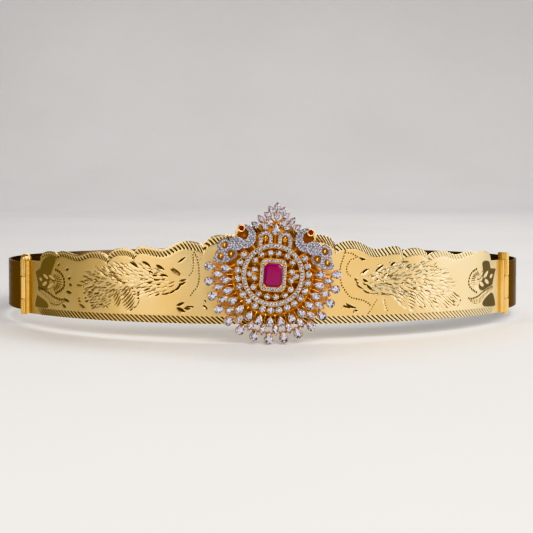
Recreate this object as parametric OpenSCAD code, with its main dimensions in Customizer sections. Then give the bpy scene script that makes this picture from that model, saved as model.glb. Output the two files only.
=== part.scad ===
// Oddiyanam, a rigid waist belt: a scalloped front plate with a stone-set pendant on it,
// two plain straps on pin hinges and a plain clasp at the back.
// The loop's own axis is Z before it is laid down. An azimuth of 0 faces the front, -Y, and grows towards +X.
// The belt lies on a table on the tips of its lowest drops and on the clasp, so the front is a little raised.

/* [Loop] */
// Outer radius of the plate and the straps
loop_r = 114; // [108:0.5:122]
// Thickness of the gilded sheet
sheet_t = 1; // [0.8:0.1:1.3]
// Height of the straps
strap_h = 20; // [16:0.5:21]
// Height of the straps' lower edge over the plate's lower edge
strap_lift = 1; // [0.6:0.1:1.5]

/* [Front plate] */
// Distance from the plate's middle to each hinge pin, along the sheet
plate_half = 121.8; // [112:0.1:130]
// Height of the plate under its middle lobe
plate_h = 38.5; // [36:0.5:42]
// Height of the plain tab that carries each hinge
tab_h = 22; // [21:0.5:24]

/* [Hinges] */
// Radius of the hinge tube
tube_r = 1.5; // [1.4:0.05:1.8]
// Radius of the hinge pin
pin_r = 0.8; // [0.6:0.05:0.85]
// How far the pin's axis lies outside the sheet's outer face
hinge_proud = 1; // [0.95:0.05:1.2]
// Radius of the round rod beside each hinge tube
rod_r = 1; // [0.9:0.05:1.3]
// Radius of the pins' heads
head_r = 2.3; // [2:0.05:2.5]
// How far the heads stand towards the plate's middle, over the rods
head_in = 1; // [0:0.1:1.2]
// Height of the cylindrical head on the right pin
head_h = 3; // [2:0.1:4]
// Radial clearance between a pin and its bore
pin_gap = 0.1; // [0.08:0.01:0.15]
// Clearance between a hinge tube and the other leaf, and between two tubes
leaf_gap = 0.25; // [0.2:0.01:0.35]

/* [Clasp] */
// Length of the clasp along the strap
clasp_len = 14; // [10:0.5:18]
// Thickness of the clasp's walls
clasp_wall = 0.8; // [0.6:0.1:1.2]
// Clearance between the clasp and the straps
clasp_gap = 0.15; // [0.1:0.01:0.3]

/* [Pendant] */
// Height of the ring's centre over the plate's lower edge
pendant_z = 19.1; // [18:0.1:20]
// Distance from the plate's face to the back of the pendant, in the middle
standoff = 4.8; // [4:0.1:6]
// Azimuth of the pendant on the plate
pendant_azimuth = 0.5; // [0:0.1:1]
// How far the pendant leans clockwise
pendant_lean = 3.8; // [2:0.1:5]
// Thickness of the pierced base
base_t = 1.2; // [1:0.1:1.5]
// Height of the stone cups over the base
cup_h = 1.3; // [1.25:0.05:1.6]
// Wall of the stone cups
cup_wall = 0.2; // [0.16:0.01:0.24]
// Clearance round each stone
stone_gap = 0.1; // [0.1:0.01:0.12]
// Width of the base's bars
bar_w = 0.75; // [0.6:0.05:0.9]
// Radius of the posts that hold the pendant to the plate
post_r = 0.8; // [0.6:0.05:0.9]

/* [Stones] */
// Width of the ruby
ruby_w = 6.8; // [6.4:0.1:7]
// Length of the ruby
ruby_l = 8.8; // [8.4:0.1:9.2]
// Width of the halo of small stones round the ruby, outside
halo_w = 9.9; // [9.8:0.1:10.2]
// Height of the halo, outside
halo_l = 12.2; // [12:0.1:12.4]
// Diameter of the halo's stones
halo_stone_d = 0.85; // [0.8:0.01:0.9]
// Radius of the ring of small stones
ring_r = 11; // [10.8:0.1:11.6]
// Diameter of the ring's stones
ring_stone_d = 1.04; // [0.9:0.01:1.1]
// Diameter of the stones inside the ring
inner_d = 1.75; // [1.5:0.05:1.8]
// Angle between neighbouring rays of the fan
fan_pitch = 13.45; // [13.2:0.05:13.7]
// Diameter of the round stones next to the ring
round_d = 2.1; // [1.8:0.05:2.2]
// Width of the pear stones
pear_w = 2.4; // [2:0.05:2.6]
// Length of the pear stones
pear_l = 3.7; // [3.4:0.05:3.9]
// Distance from the round row to the pear row
pear_step = 4.3; // [4.1:0.05:4.5]
// Width of the marquise stones
marquise_w = 1.95; // [1.7:0.05:2.1]
// Length of the marquise stones
marquise_l = 3.6; // [3.2:0.05:3.8]
// Distance from the pear row to the marquise row
marquise_step = 3.2; // [3:0.05:3.4]
// Width of the outer drop stones
drop_w = 2.7; // [2.4:0.05:2.9]
// Length of the outer drop stones
drop_l = 4; // [3.7:0.05:4.2]
// Distance from the marquise row to the drops
drop_step = 2.8; // [2.6:0.05:3]
// Width of the crown's leaf stones
leaf_w = 1.75; // [1.5:0.05:1.85]
// Length of the crown's leaf stones
leaf_l = 2.8; // [2.5:0.05:2.9]
// Diameter of the stones in the two arches
arch_stone_d = 0.98; // [0.85:0.01:1]
// Diameter of the birds' eye stones
eye_d = 1.7; // [1.4:0.05:1.8]

/* [Hidden] */
$fn = 64;
DROPS = 15;
PEARS = 15;
MARQUISES = 14;
ROUNDS = 19;
seam_gap = 0.12;        // least clear space between neighbouring stones of a row
pad = 0.12;             // how far the base stands out round a cup
POST_PLAY = 0.06;       // clearance of the pendant's posts along their axes, on each side of the plate

// Shapes of cut stones
ROUND = 0;
PEAR = 1;
MARQUISE = 2;
// Share of a stone's width in its table, and of its height over, at and under the girdle
TABLE = 0.56;
CROWN = 0.15;
GIRDLE = 0.05;
PAVILION = 0.36;
CUP_SIDES = 10;          // sides of the cups that aren't round

// Upper edge of the plate, from the middle to the hinge.
// Columns: distance from the middle as a share of plate_half, height as a share of plate_h,
// and 1 where the edge runs level there or 0 where two lobes meet in a sharp notch.
SCALLOPS = [
    [0.000, 1.000, 1], [0.090, 0.870, 0], [0.150, 0.885, 1], [0.209, 0.766, 0],
    [0.266, 0.821, 1], [0.349, 0.735, 1], [0.418, 0.761, 1], [0.445, 0.681, 0],
    [0.492, 0.740, 1], [0.548, 0.631, 0], [0.609, 0.704, 1], [0.679, 0.657, 1],
    [0.757, 0.691, 1], [0.784, 0.642, 0], [0.828, 0.683, 1], [0.888, 0.605, 0],
    [0.898, tab_h / plate_h, 1], [1.010, tab_h / plate_h, 1]
];
SCALLOP_STEPS = 4;      // straight steps between two rows of the table

// Stones between the ruby and the ring, right half. Columns: place across and up as shares of ring_r.
INNER = [
    [0.136, 0.750], [0.445, 0.673], [0.640, 0.470], [0.632, 0.141], [0.795, 0.000],
    [0.632, -0.141], [0.640, -0.450], [0.450, -0.668], [0.145, -0.745]
];

// Crown of leaves over the ring. Columns: place across and up as shares of ring_r, lean from upright
// in degrees, and size against a plain leaf.
CROWN_LEAVES = [
    [0.000, 2.327, 0, 1.12], [0.209, 2.218, 30, 1], [0.323, 2.036, 50, 1],
    [0.545, 1.891, 38, 1], [0.727, 1.682, 60, 1], [0.255, 1.791, 55, 1],
    [0.409, 1.640, 66, 1], [0.000, 1.990, 180, 1], [0.000, 1.560, 0, 1.35]
];
PAIRED_LEAVES = 6;      // rows 1 to 6 of the table stand on both sides
CROWN_STONES = 9 + PAIRED_LEAVES;

// The two birds, right one. Places and radii are shares of ring_r.
BIRD_EYE = [1.186, 1.532];
BIRD_NECK = [0.986, 1.261];
BIRD_NECK_R = 0.327;
BIRD_THROAT = [1.105, 1.350];
BIRD_THROAT_R = 0.205;
BIRD_BODY = [1.309, 1.009];
BIRD_BODY_R = 0.232;
BIRD_TAIL = [[1.736, 0.923], [1.818, 0.559], [1.450, 0.636]];
TAIL_R = 0.195;
TAIL_HOLE_R = 0.085;

// Arches between the birds' necks. Shares of ring_r.
ARCH_X = 0.332;
ARCH_R = 0.177;
ARCH_TOP = 1.250;

// Angles and radii of the loop
function along(s) = s / loop_r * 180 / PI;
function polar(azimuth, r, z = 0) = [r * sin(azimuth), -r * cos(azimuth), z];
hinge_az = along(plate_half);
hinge_r = loop_r + hinge_proud;
hinge_pos = polar(hinge_az, hinge_r);
head_pos = polar(hinge_az - along(head_in), hinge_r - head_in / 2);
clear_r = tube_r + leaf_gap;
sheet_az = hinge_az - along(leaf_gap / 2);      // where the plate's sheet ends
rod_az = hinge_az - along(clear_r + rod_r + 0.05);
MIDDLE_TUBE = [0.27, 0.69];         // where the strap's tube starts and ends, as shares of the tab's height
tube_lo = MIDDLE_TUBE[0] * tab_h;
tube_hi = MIDDLE_TUBE[1] * tab_h;
head_z = tab_h + leaf_gap / 2;      // underside of the pins' heads
clasp_r = loop_r + clasp_gap + clasp_wall;
clasp_az = along(clasp_len / 2);
clasp_lo = strap_lift - clasp_gap - clasp_wall;
clasp_hi = strap_lift + strap_h + clasp_gap + clasp_wall;

// Heights in the pendant, from the back of its base
cup_top = base_t + cup_h;
sink = 0.2;                         // how far a stone's girdle lies under the rim of its cup
stone_z = cup_top - sink;
ring_top = cup_top + 0.3;
ring_floor = ring_top - 0.75;
halo_top = cup_top + 0.8;
halo_floor = halo_top - 0.65;
ruby_top = halo_top + 0.5;
ruby_z = ruby_top - 0.3;
ruby_crown = 0.9;
ruby_pavilion = 2.6;
pendant_front = ruby_z + GIRDLE * ruby_w + ruby_crown;

// Rows of the fan, from the ring outwards
cup_out = stone_gap + cup_wall;
ring_half = ring_stone_d / 2 + stone_gap + 0.25;
round_row = ring_r + ring_half + 0.15 + round_d / 2 + cup_out;
pear_row = round_row + pear_step;
marquise_row = pear_row + marquise_step;
drop_row = marquise_row + drop_step;
function ray(k, r) = [r * sin(k * fan_pitch), -r * cos(k * fan_pitch)];

// Outline of a cut stone with its point along +Y, as n points
function stone_outline(shape, w, l, n = 8) = [for (i = [0:n - 1]) let (a = 90 + 360 * i / n)
    shape == ROUND ? [w / 2 * cos(a + 180 / n), l / 2 * sin(a + 180 / n)]
    : shape == PEAR ? [w / 2 * cos(a) * sqrt((1 - sin(a)) / 2) / 0.77, l / 2 * sin(a)]
    : [w / 2 * cos(a) * abs(cos(a)), l / 2 * sin(a)]];
function turned(p, a) = [p.x * cos(a) - p.y * sin(a), p.x * sin(a) + p.y * cos(a)];

// How the belt lies. Its lowest point in front is on a drop's cup, and behind on the clasp.
cup_points = stone_outline(PEAR, drop_w + 2 * (cup_out + pad), drop_l + 2 * (cup_out + pad), CUP_SIDES);
drop_low = pendant_z + min([for (k = [-(DROPS - 1) / 2:(DROPS - 1) / 2], p = cup_points)
    turned(ray(k, drop_row) + turned(p, k * fan_pitch), -pendant_lean).y]);
back_y = loop_r + standoff;
rest_tilt = atan((clasp_lo - drop_low) / (clasp_r + back_y));
rest_lift = clasp_r * sin(rest_tilt) - clasp_lo * cos(rest_tilt);
reach_back = clasp_r * cos(rest_tilt) + clasp_hi * sin(rest_tilt);
reach_front = -(back_y + pendant_front) * cos(rest_tilt) + (pendant_z - ruby_l * TABLE / 2) * sin(rest_tilt);
rest_shift = -(reach_back + reach_front) / 2;

CROWN_NAMES = [for (i = [1:CROWN_STONES]) str("crown_stone_", i)];
DROP_NAMES = [for (i = [1:DROPS]) str("drop_stone_", i)];

// Lays the belt down as it rests
module laid() {
    translate([0, rest_shift, rest_lift]) rotate([-rest_tilt, 0, 0]) children();
}

// The pendant's own frame: X across, Y up its middle line, Z out of its face, from the back of its base
module on_pendant() {
    laid() rotate([0, 0, pendant_azimuth]) translate([0, -back_y, pendant_z])
        rotate([90, 0, 0]) rotate([0, 0, -pendant_lean]) children();
}

// Both halves of a thing that is the same on the left and on the right
module both_sides() {
    children();
    mirror([1, 0, 0]) children();
}

// Curved wall between two azimuths, radii and heights
module wall(from, to, r_in, r_out, z_lo, z_hi) {
    rotate([0, 0, from - 90]) rotate_extrude(angle = to - from)
        translate([r_in, z_lo]) square([r_out - r_in, z_hi - z_lo]);
}

// Points of the plate's upper edge between two rows of the table, as shares. From a notch the edge rises
// in a quarter ellipse, and between two level places it swings over in an S.
function edge_points(a, b) = [for (j = [0:SCALLOP_STEPS - 1]) let (t = 90 * j / SCALLOP_STEPS,
        across = a[2] == b[2] ? t / 90 : a[2] == 1 ? sin(t) : 1 - cos(t),
        up = a[2] == b[2] ? (1 - cos(2 * t)) / 2 : a[2] == 1 ? 1 - cos(t) : sin(t))
    [a[0] + (b[0] - a[0]) * across, a[1] + (b[1] - a[1]) * up]];

// Everything over the scalloped edge, as a curved block that is cut away from the sheet
module over_scallops() {
    rows = len(SCALLOPS) - 1;
    half = concat([for (i = [0:rows - 1]) each edge_points(SCALLOPS[i], SCALLOPS[i + 1])],
        [[SCALLOPS[rows][0], SCALLOPS[rows][1]]]);
    edge = concat([for (i = [len(half) - 1:-1:1]) [-half[i].x, half[i].y]], half);
    r_in = loop_r - sheet_t - 2;
    r_out = loop_r + 2;
    top = plate_h + 3;
    n = len(edge);
    points = [for (c = edge) let (az = along(c.x * plate_half), z = c.y * plate_h)
        each [polar(az, r_in, z), polar(az, r_out, z), polar(az, r_out, top), polar(az, r_in, top)]];
    sides = [for (i = [0:n - 2], s = [0:3]) let (a = 4 * i + s, b = 4 * i + (s + 1) % 4)
        each [[a, b, b + 4], [a, b + 4, a + 4]]];
    polyhedron(points, concat([[3, 2, 1, 0]], sides, [[for (s = [0:3]) 4 * (n - 1) + s]]));
}

// A length of hinge tube, on the right-hand side
module tube(z_lo, z_hi, r = tube_r) {
    translate([hinge_pos.x, hinge_pos.y, z_lo]) cylinder(r = r, h = z_hi - z_lo);
}

// Room for the other leaf's tube, cut square through a leaf
module tube_room(z_lo, z_hi) {
    reach = hinge_proud + 2 * sheet_t;      // inwards from the axis, past the sheet
    translate([hinge_pos.x, hinge_pos.y, z_lo]) rotate([0, 0, hinge_az]) translate([-clear_r, -clear_r, 0])
        cube([2 * clear_r, clear_r + reach, z_hi - z_lo]);
}

// The plate's soldered hinge parts, on the right-hand side
module plate_hinge() {
    tube(0, tab_h);
    translate(polar(rod_az, loop_r + rod_r / 3, 0)) cylinder(r = rod_r, h = tab_h);
}

module front_plate() {
    color("goldenrod") laid() difference() {
        union() {
            difference() {
                wall(-sheet_az, sheet_az, loop_r - sheet_t, loop_r, 0, plate_h + 1);
                over_scallops();
            }
            both_sides() plate_hinge();
        }
        both_sides() {
            tube_room(tube_lo - leaf_gap / 2, tube_hi + leaf_gap / 2);
            tube(-1, plate_h, pin_r + pin_gap);
        }
        rotate([0, 0, pendant_azimuth]) translate([0, -back_y, pendant_z]) rotate([90, 0, 0])
            rotate([0, 0, -pendant_lean]) post_places() translate([0, 0, -standoff - 6])
                cylinder(r = post_r + stone_gap, h = standoff + 5);
    }
}

// A headed hinge pin with its lower end riveted over
module hinge_pin() {
    rivet_h = 0.5;
    tube(-leaf_gap - rivet_h / 2, head_z + leaf_gap, pin_r);
    tube(-leaf_gap / 2 - rivet_h, -leaf_gap / 2, pin_r + 0.5);
}

module right_hinge_pin() {
    color("gold") laid() union() {
        hinge_pin();
        translate([head_pos.x, head_pos.y, head_z]) cylinder(r = head_r, h = head_h);
    }
}

module left_hinge_pin() {
    rim_h = 0.5;
    color("gold") laid() mirror([1, 0, 0]) union() {
        hinge_pin();
        translate([head_pos.x, head_pos.y, head_z]) cylinder(r = head_r, h = rim_h);
        translate([head_pos.x, head_pos.y, head_z + rim_h]) difference() {
            sphere(r = head_r - 0.1);
            translate([0, 0, -head_r - rim_h / 2]) cube(2 * head_r, center = true);
        }
    }
}

// A strap from its hinge tube round to the given azimuth, on the right-hand side
module strap(end_az) {
    difference() {
        union() {
            wall(2 * hinge_az - sheet_az, end_az, loop_r - sheet_t, loop_r, strap_lift, strap_lift + strap_h);
            tube(strap_lift, strap_lift + strap_h);
        }
        tube_room(-1, tube_lo + leaf_gap / 2);
        tube_room(tube_hi - leaf_gap / 2, tab_h + 5);
        tube(0, tab_h, pin_r + pin_gap);
    }
}

module right_strap() {
    color("goldenrod") laid() strap(180 - clasp_az - along(2 * clasp_gap));
}

module left_strap() {
    color("goldenrod") laid() mirror([1, 0, 0]) strap(180 + clasp_az - along(clasp_wall + clasp_gap));
}

// A plain sleeve that closes the loop. The left strap ends in it and the right strap meets its face.
module back_clasp() {
    color("gold") laid() mirror([1, 0, 0]) difference() {
        wall(180 - clasp_az, 180 + clasp_az, loop_r - sheet_t - clasp_gap - clasp_wall, clasp_r,
            clasp_lo, clasp_hi);
        wall(180 - clasp_az - 1, 180 + clasp_az - along(clasp_wall), loop_r - sheet_t - clasp_gap,
            loop_r + clasp_gap, strap_lift - clasp_gap, strap_lift + strap_h + clasp_gap);
    }
}

// A cut stone with its girdle's lower edge at Z = 0
module stone(outline, w, crown = CROWN, pavilion = PAVILION) {
    n = len(outline);
    points = concat(
        [for (p = outline) [p.x * TABLE, p.y * TABLE, (GIRDLE + crown) * w]],
        [for (p = outline) [p.x, p.y, GIRDLE * w]],
        [for (p = outline) [p.x, p.y, 0]],
        [[0, 0, -pavilion * w]]);
    sides = [for (i = [0:n - 1], ring = [0, n]) let (j = (i + 1) % n)
        [ring + i, ring + j, ring + n + j, ring + n + i]];
    points_down = [for (i = [0:n - 1]) [2 * n + i, 2 * n + (i + 1) % n, 3 * n]];
    polyhedron(points, concat([[for (i = [n - 1:-1:0]) i]], sides, points_down));
}

// Places that the stones of each row take
module at_inner() {
    for (p = INNER, side = [1, -1]) translate([side * p.x * ring_r, p.y * ring_r]) children();
}
module at_ray(k, r) {
    rotate([0, 0, k * fan_pitch]) translate([0, -r]) children();
}
module on_rays(count, r) {
    for (i = [0:count - 1]) at_ray(i - (count - 1) / 2, r) children();
}
module post_places() {
    for (i = [0:3]) rotate([0, 0, 45 + 90 * i]) translate([ring_r, 0]) children();
}

// Row of the crown's table and side of the i-th crown stone: paired leaves first, right then left
function crown_row(i) = i == 0 ? 0 : i <= 2 * PAIRED_LEAVES ? floor((i + 1) / 2) : i - PAIRED_LEAVES;
function crown_side(i) = i >= 1 && i <= 2 * PAIRED_LEAVES && i % 2 == 0 ? -1 : 1;
function leaf_at(row) = [CROWN_LEAVES[row][0], CROWN_LEAVES[row][1]] * ring_r;
module at_crown(i) {
    at = leaf_at(crown_row(i));
    lean = crown_side(i) * CROWN_LEAVES[crown_row(i)][2];
    translate([crown_side(i) * at.x, at.y]) rotate([0, 0, -lean]) children();
}
function crown_w(i) = leaf_w * CROWN_LEAVES[crown_row(i)][3];
function crown_l(i) = leaf_l * CROWN_LEAVES[crown_row(i)][3];

// Path of an arch's stones: up from the ring, round the top and down to the ring again
arch_x = ARCH_X * ring_r;
arch_r = ARCH_R * ring_r;
arch_z = ARCH_TOP * ring_r;
function arch_foot(x) = sqrt(pow(ring_r + ring_half + arch_stone_d / 2 + stone_gap, 2) - x * x);
in_leg = arch_z - arch_foot(arch_x - arch_r);
out_leg = arch_z - arch_foot(arch_x + arch_r);
arch_len = in_leg + PI * arch_r + out_leg;
arch_n = floor(arch_len / (arch_stone_d + seam_gap)) + 1;
function arch_spot(d) = d < in_leg ? [arch_x - arch_r, arch_z - in_leg + d]
    : d > in_leg + PI * arch_r ? [arch_x + arch_r, arch_z - (d - in_leg - PI * arch_r)]
    : let (a = 180 - (d - in_leg) / arch_r * 180 / PI) [arch_x + arch_r * cos(a), arch_z + arch_r * sin(a)];

// Path of the halo's stones: a rectangle with round corners
halo_wall = 0.25;
halo_path_w = halo_w - 2 * halo_wall - 2 * stone_gap - halo_stone_d;
halo_path_l = halo_l - 2 * halo_wall - 2 * stone_gap - halo_stone_d;
halo_corner = 1.7;
halo_side = halo_path_l - 2 * halo_corner;
halo_end = halo_path_w - 2 * halo_corner;
halo_quarter = PI / 2 * halo_corner;
halo_len = 2 * (halo_side + halo_end) + 4 * halo_quarter;
halo_n = 4 * floor(halo_len / (halo_stone_d + seam_gap) / 4);
function halo_spot(d) = let (half = halo_len / 2, flip = d >= half ? -1 : 1, e = d >= half ? d - half : d,
        w = halo_path_w / 2, l = halo_path_l / 2, c = halo_corner,
        p = e < halo_side ? [w, e - halo_side / 2]
            : e < halo_side + halo_quarter
                ? let (a = (e - halo_side) / c * 180 / PI) [w - c + c * cos(a), l - c + c * sin(a)]
            : e < halo_side + halo_quarter + halo_end ? [w - c - (e - halo_side - halo_quarter), l]
            : let (a = 90 + (e - halo_side - halo_quarter - halo_end) / c * 180 / PI)
                [-w + c + c * cos(a), l - c + c * sin(a)])
    flip * p;

// Rectangle with cut corners, as the ruby's outline and its opening
function cut_corners(w, l, c) = [
    [w / 2, l / 2 - c], [w / 2 - c, l / 2], [-w / 2 + c, l / 2], [-w / 2, l / 2 - c],
    [-w / 2, -l / 2 + c], [-w / 2 + c, -l / 2], [w / 2 - c, -l / 2], [w / 2, -l / 2 + c]];
ruby_cut = 1.2;

// Rectangle with round corners
module round_rect(w, l, r) {
    polygon([for (q = [0:3], i = [0:4]) let (a = 90 * q + 22.5 * i,
            sx = q == 0 || q == 3 ? 1 : -1, sy = q < 2 ? 1 : -1)
        [sx * (w / 2 - r) + r * cos(a), sy * (l / 2 - r) + r * sin(a)]]);
}

// Straight bar of the base from one place to another
module bar(a, b, w = bar_w) {
    translate(a) rotate([0, 0, atan2(b.y - a.y, b.x - a.x)])
        translate([-w / 2, -w / 2]) square([norm(b - a) + w, w]);
}
module disc(r, at = [0, 0]) {
    translate(at) circle(r = r);
}

// Plan of every cup, larger than its stone by m all round
module cup_plans(m) {
    at_inner() circle(r = inner_d / 2 + m);
    on_rays(ROUNDS, round_row) circle(r = round_d / 2 + m);
    on_rays(PEARS, pear_row) polygon(stone_outline(PEAR, pear_w + 2 * m, pear_l + 2 * m, CUP_SIDES));
    on_rays(MARQUISES, marquise_row)
        polygon(stone_outline(MARQUISE, marquise_w + 2 * m, marquise_l + 3 * m, CUP_SIDES));
    on_rays(DROPS, drop_row) polygon(stone_outline(PEAR, drop_w + 2 * m, drop_l + 2 * m, CUP_SIDES));
    for (i = [0:CROWN_STONES - 1]) at_crown(i)
        polygon(stone_outline(PEAR, crown_w(i) + 2 * m, crown_l(i) + 2 * m, CUP_SIDES));
}

// Plan of an arch's band, on the right-hand side
module arch_band(half) {
    difference() {
        union() {
            disc(arch_r + half, [arch_x, arch_z]);
            for (s = [-1, 1]) bar([arch_x + s * arch_r, ring_r], [arch_x + s * arch_r, arch_z], 2 * half);
        }
        disc(arch_r - half, [arch_x, arch_z]);
        translate([arch_x - arch_r + half, 0]) square([2 * (arch_r - half), arch_z]);
    }
}

// Plans of a bird, on the right-hand side
module bird_neck(m = 0) {
    difference() {
        disc(BIRD_NECK_R * ring_r + m, BIRD_NECK * ring_r);
        disc(BIRD_THROAT_R * ring_r - m, BIRD_THROAT * ring_r);
    }
}
module bird_body(m = 0) {
    disc(BIRD_BODY_R * ring_r + m, BIRD_BODY * ring_r);
}
module bird_tail(m = 0) {
    difference() {
        union() {
            for (p = BIRD_TAIL) disc(TAIL_R * ring_r + m, p * ring_r);
            bar(BIRD_BODY * ring_r, BIRD_TAIL[0] * ring_r, 2 * bar_w);
        }
        for (p = BIRD_TAIL) disc(TAIL_HOLE_R * ring_r - m, p * ring_r);
    }
}

// The base's bars between the rows of the fan
module fan_bars() {
    half_drops = (DROPS - 1) / 2;
    half_rounds = (ROUNDS - 1) / 2;
    for (k = [-half_rounds:half_rounds]) bar(ray(k, ring_r), ray(k, round_row));
    for (k = [-half_drops:half_drops]) bar(ray(k, round_row), ray(k, pear_row));
    arc_r = pear_row - pear_l / 2 - cup_out - bar_w / 2;
    for (k = [-half_drops:half_drops - 1]) bar(ray(k, arc_r), ray(k + 1, arc_r), 0.8 * bar_w);
    for (k = [-half_drops:half_drops - 1], s = [0, 1]) {
        bar(ray(k + s, pear_row + pear_l / 4), ray(k + 0.5, marquise_row - marquise_l / 8));
        bar(ray(k + 0.5, marquise_row + marquise_l / 8), ray(k + s, drop_row - drop_l / 4));
    }
    for (s = [-1, 1]) {
        bar(ray(s * half_drops, pear_row), ray(s * half_drops, drop_row));
        bar(ray(s * (half_rounds - 1), round_row), ray(s * half_drops, pear_row));
    }
}

// The base's bars in the ring, on the right-hand side
module inner_bars() {
    halo_share = 0.62;      // where a bar starts under the halo, as a share of the way to its stone
    for (p = INNER) bar(p * ring_r * halo_share, p / norm(p) * (ring_r - ring_half + bar_w / 2));
}

// The base's bars in the crown and round the birds, on the right-hand side
module upper_bars() {
    stem_foot = 1.45 * ring_r;      // lowest place on the middle stem that a leaf's stem starts from
    stem_rise = 0.9;                // how much a leaf's stem rises for each mm across
    low_foot = 1.35 * ring_r;       // the same for the stem of the outermost leaf
    thin = 0.9 * bar_w;
    bar([0, ring_r], leaf_at(0));
    for (i = [1:PAIRED_LEAVES]) let (leaf = leaf_at(i))
        bar([0, max(stem_foot, leaf.y - leaf.x * stem_rise)], leaf, thin);
    bar([0, low_foot], leaf_at(4));
    bar(leaf_at(4), BIRD_NECK * ring_r);
    bar([arch_x, arch_z + arch_r], leaf_at(6));
    bar([arch_x, ring_r], [arch_x, arch_z + arch_r], thin);
    bar([arch_x + arch_r, arch_z], BIRD_NECK * ring_r);
    bar(BIRD_NECK * (ring_r / norm(BIRD_NECK)), BIRD_NECK * ring_r);
    bar(BIRD_BODY * (ring_r / norm(BIRD_BODY)), BIRD_BODY * ring_r);
    bar(BIRD_NECK * ring_r, BIRD_BODY * ring_r, 3 * bar_w);
    bar(ray((ROUNDS - 1) / 2, round_row), BIRD_TAIL[2] * ring_r);
    bar(ray((PEARS - 1) / 2, pear_row), BIRD_TAIL[1] * ring_r);
    bar(BIRD_EYE * ring_r, [BIRD_THROAT.x * ring_r, (BIRD_THROAT.y - BIRD_THROAT_R) * ring_r], thin);
    bar(BIRD_EYE * ring_r, [BIRD_NECK.x, BIRD_NECK.y + BIRD_NECK_R] * ring_r);
    disc(eye_d / 2 + cup_out + pad, BIRD_EYE * ring_r);
}

// Plan of the pierced base
module base_plan() {
    union() {
        cup_plans(cup_out + pad);
        difference() {
            circle(r = ring_r + ring_half + pad);
            circle(r = ring_r - ring_half - pad);
        }
        round_rect(halo_w + 2 * pad, halo_l + 2 * pad, halo_corner + 0.7);
        fan_bars();
        both_sides() {
            inner_bars();
            upper_bars();
            arch_band(arch_stone_d / 2 + stone_gap + cup_wall + pad);
            bird_neck(pad);
            bird_body(pad);
            bird_tail(pad);
        }
    }
}

// Walls of the stone cups and of the arches' channels
module cup_walls_plan() {
    difference() {
        union() {
            cup_plans(cup_out);
            both_sides() arch_band(arch_stone_d / 2 + stone_gap + cup_wall);
        }
        cup_plans(stone_gap);
        both_sides() arch_band(arch_stone_d / 2 + stone_gap);
        difference() {
            circle(r = ring_r + ring_half - 0.1);
            circle(r = ring_r - ring_half + 0.1);
        }
    }
}

// The post that holds the pendant: a spacer, a shank through the plate and a riveted end behind it
module post() {
    spacer_r = post_r + 0.25;
    rivet_r = post_r + 0.5;
    rivet_h = 0.6;
    near = ring_r * sin(45 - pendant_lean) - spacer_r;      // the spacer's side next to the plate's middle
    far = ring_r * cos(45 - pendant_lean) + rivet_r;        // the rivet's side next to the plate's end
    front_z = sqrt(pow(loop_r, 2) - pow(near, 2)) - back_y + POST_PLAY;
    inside_z = sqrt(pow(loop_r - sheet_t, 2) - pow(far, 2)) - back_y - POST_PLAY;
    translate([0, 0, front_z]) cylinder(r = spacer_r, h = base_t / 2 - front_z);
    translate([0, 0, inside_z - rivet_h / 2]) cylinder(r = post_r, h = -inside_z);
    translate([0, 0, inside_z - rivet_h]) cylinder(r = rivet_r, h = rivet_h);
}

// The ring's channel, from inside the base up to its rim
module ring_channel() {
    low = base_t - 0.2;
    slot = ring_stone_d / 2 + stone_gap;
    rotate_extrude() polygon([for (p = [[-ring_half, low], [ring_half, low], [ring_half, ring_top],
        [slot, ring_top], [slot, ring_floor], [-slot, ring_floor], [-slot, ring_top], [-ring_half, ring_top]])
        [ring_r + p.x, p.y]]);
}

// The halo's channel, a block with a round-cornered groove
module halo_channel() {
    slot = halo_stone_d / 2 + stone_gap;
    low = base_t - 0.2;
    difference() {
        translate([0, 0, low]) linear_extrude(halo_top - low) round_rect(halo_w, halo_l, halo_corner + 0.5);
        translate([0, 0, halo_floor]) linear_extrude(halo_top) difference() {
            round_rect(halo_path_w + 2 * slot, halo_path_l + 2 * slot, halo_corner + slot);
            round_rect(halo_path_w - 2 * slot, halo_path_l - 2 * slot, halo_corner - slot);
        }
    }
}

module pendant_frame() {
    color("darkorange") on_pendant() difference() {
        union() {
            linear_extrude(base_t) base_plan();
            translate([0, 0, base_t - 0.2]) linear_extrude(cup_h + 0.2) cup_walls_plan();
            ring_channel();
            halo_channel();
            both_sides() {
                translate([0, 0, base_t - 0.2]) linear_extrude(cup_h + 0.5) {
                    bird_neck();
                    bird_body();
                }
                translate([0, 0, base_t - 0.2]) linear_extrude(cup_h) bird_tail();
                translate([BIRD_EYE.x * ring_r, BIRD_EYE.y * ring_r, base_t / 2])
                    cylinder(d = eye_d + 2 * cup_out, h = cup_top + 0.4 - base_t / 2);
            }
            post_places() post();
        }
        translate([0, 0, -1]) linear_extrude(halo_top + 2)
            polygon(cut_corners(ruby_w + 2 * stone_gap, ruby_l + 2 * stone_gap, ruby_cut));
        both_sides() translate([BIRD_EYE.x * ring_r, BIRD_EYE.y * ring_r, cup_top - 0.8])
            cylinder(d = eye_d + 2 * stone_gap, h = 3);
    }
}

module ruby() {
    color("mediumvioletred") on_pendant() translate([0, 0, ruby_z])
        stone(cut_corners(ruby_w, ruby_l, ruby_cut), ruby_w, ruby_crown / ruby_w, ruby_pavilion / ruby_w);
}

module eye_stone(side) {
    color("darkred") on_pendant() translate([side * BIRD_EYE.x * ring_r, BIRD_EYE.y * ring_r, cup_top + 0.2])
        stone(stone_outline(ROUND, eye_d, eye_d), eye_d);
}

module halo_stones() {
    color("lavender") on_pendant() for (i = [0:halo_n - 1]) let (p = halo_spot((i + 0.5) * halo_len / halo_n))
        translate([p.x, p.y, halo_top - sink])
            stone(stone_outline(ROUND, halo_stone_d, halo_stone_d), halo_stone_d);
}

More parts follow.
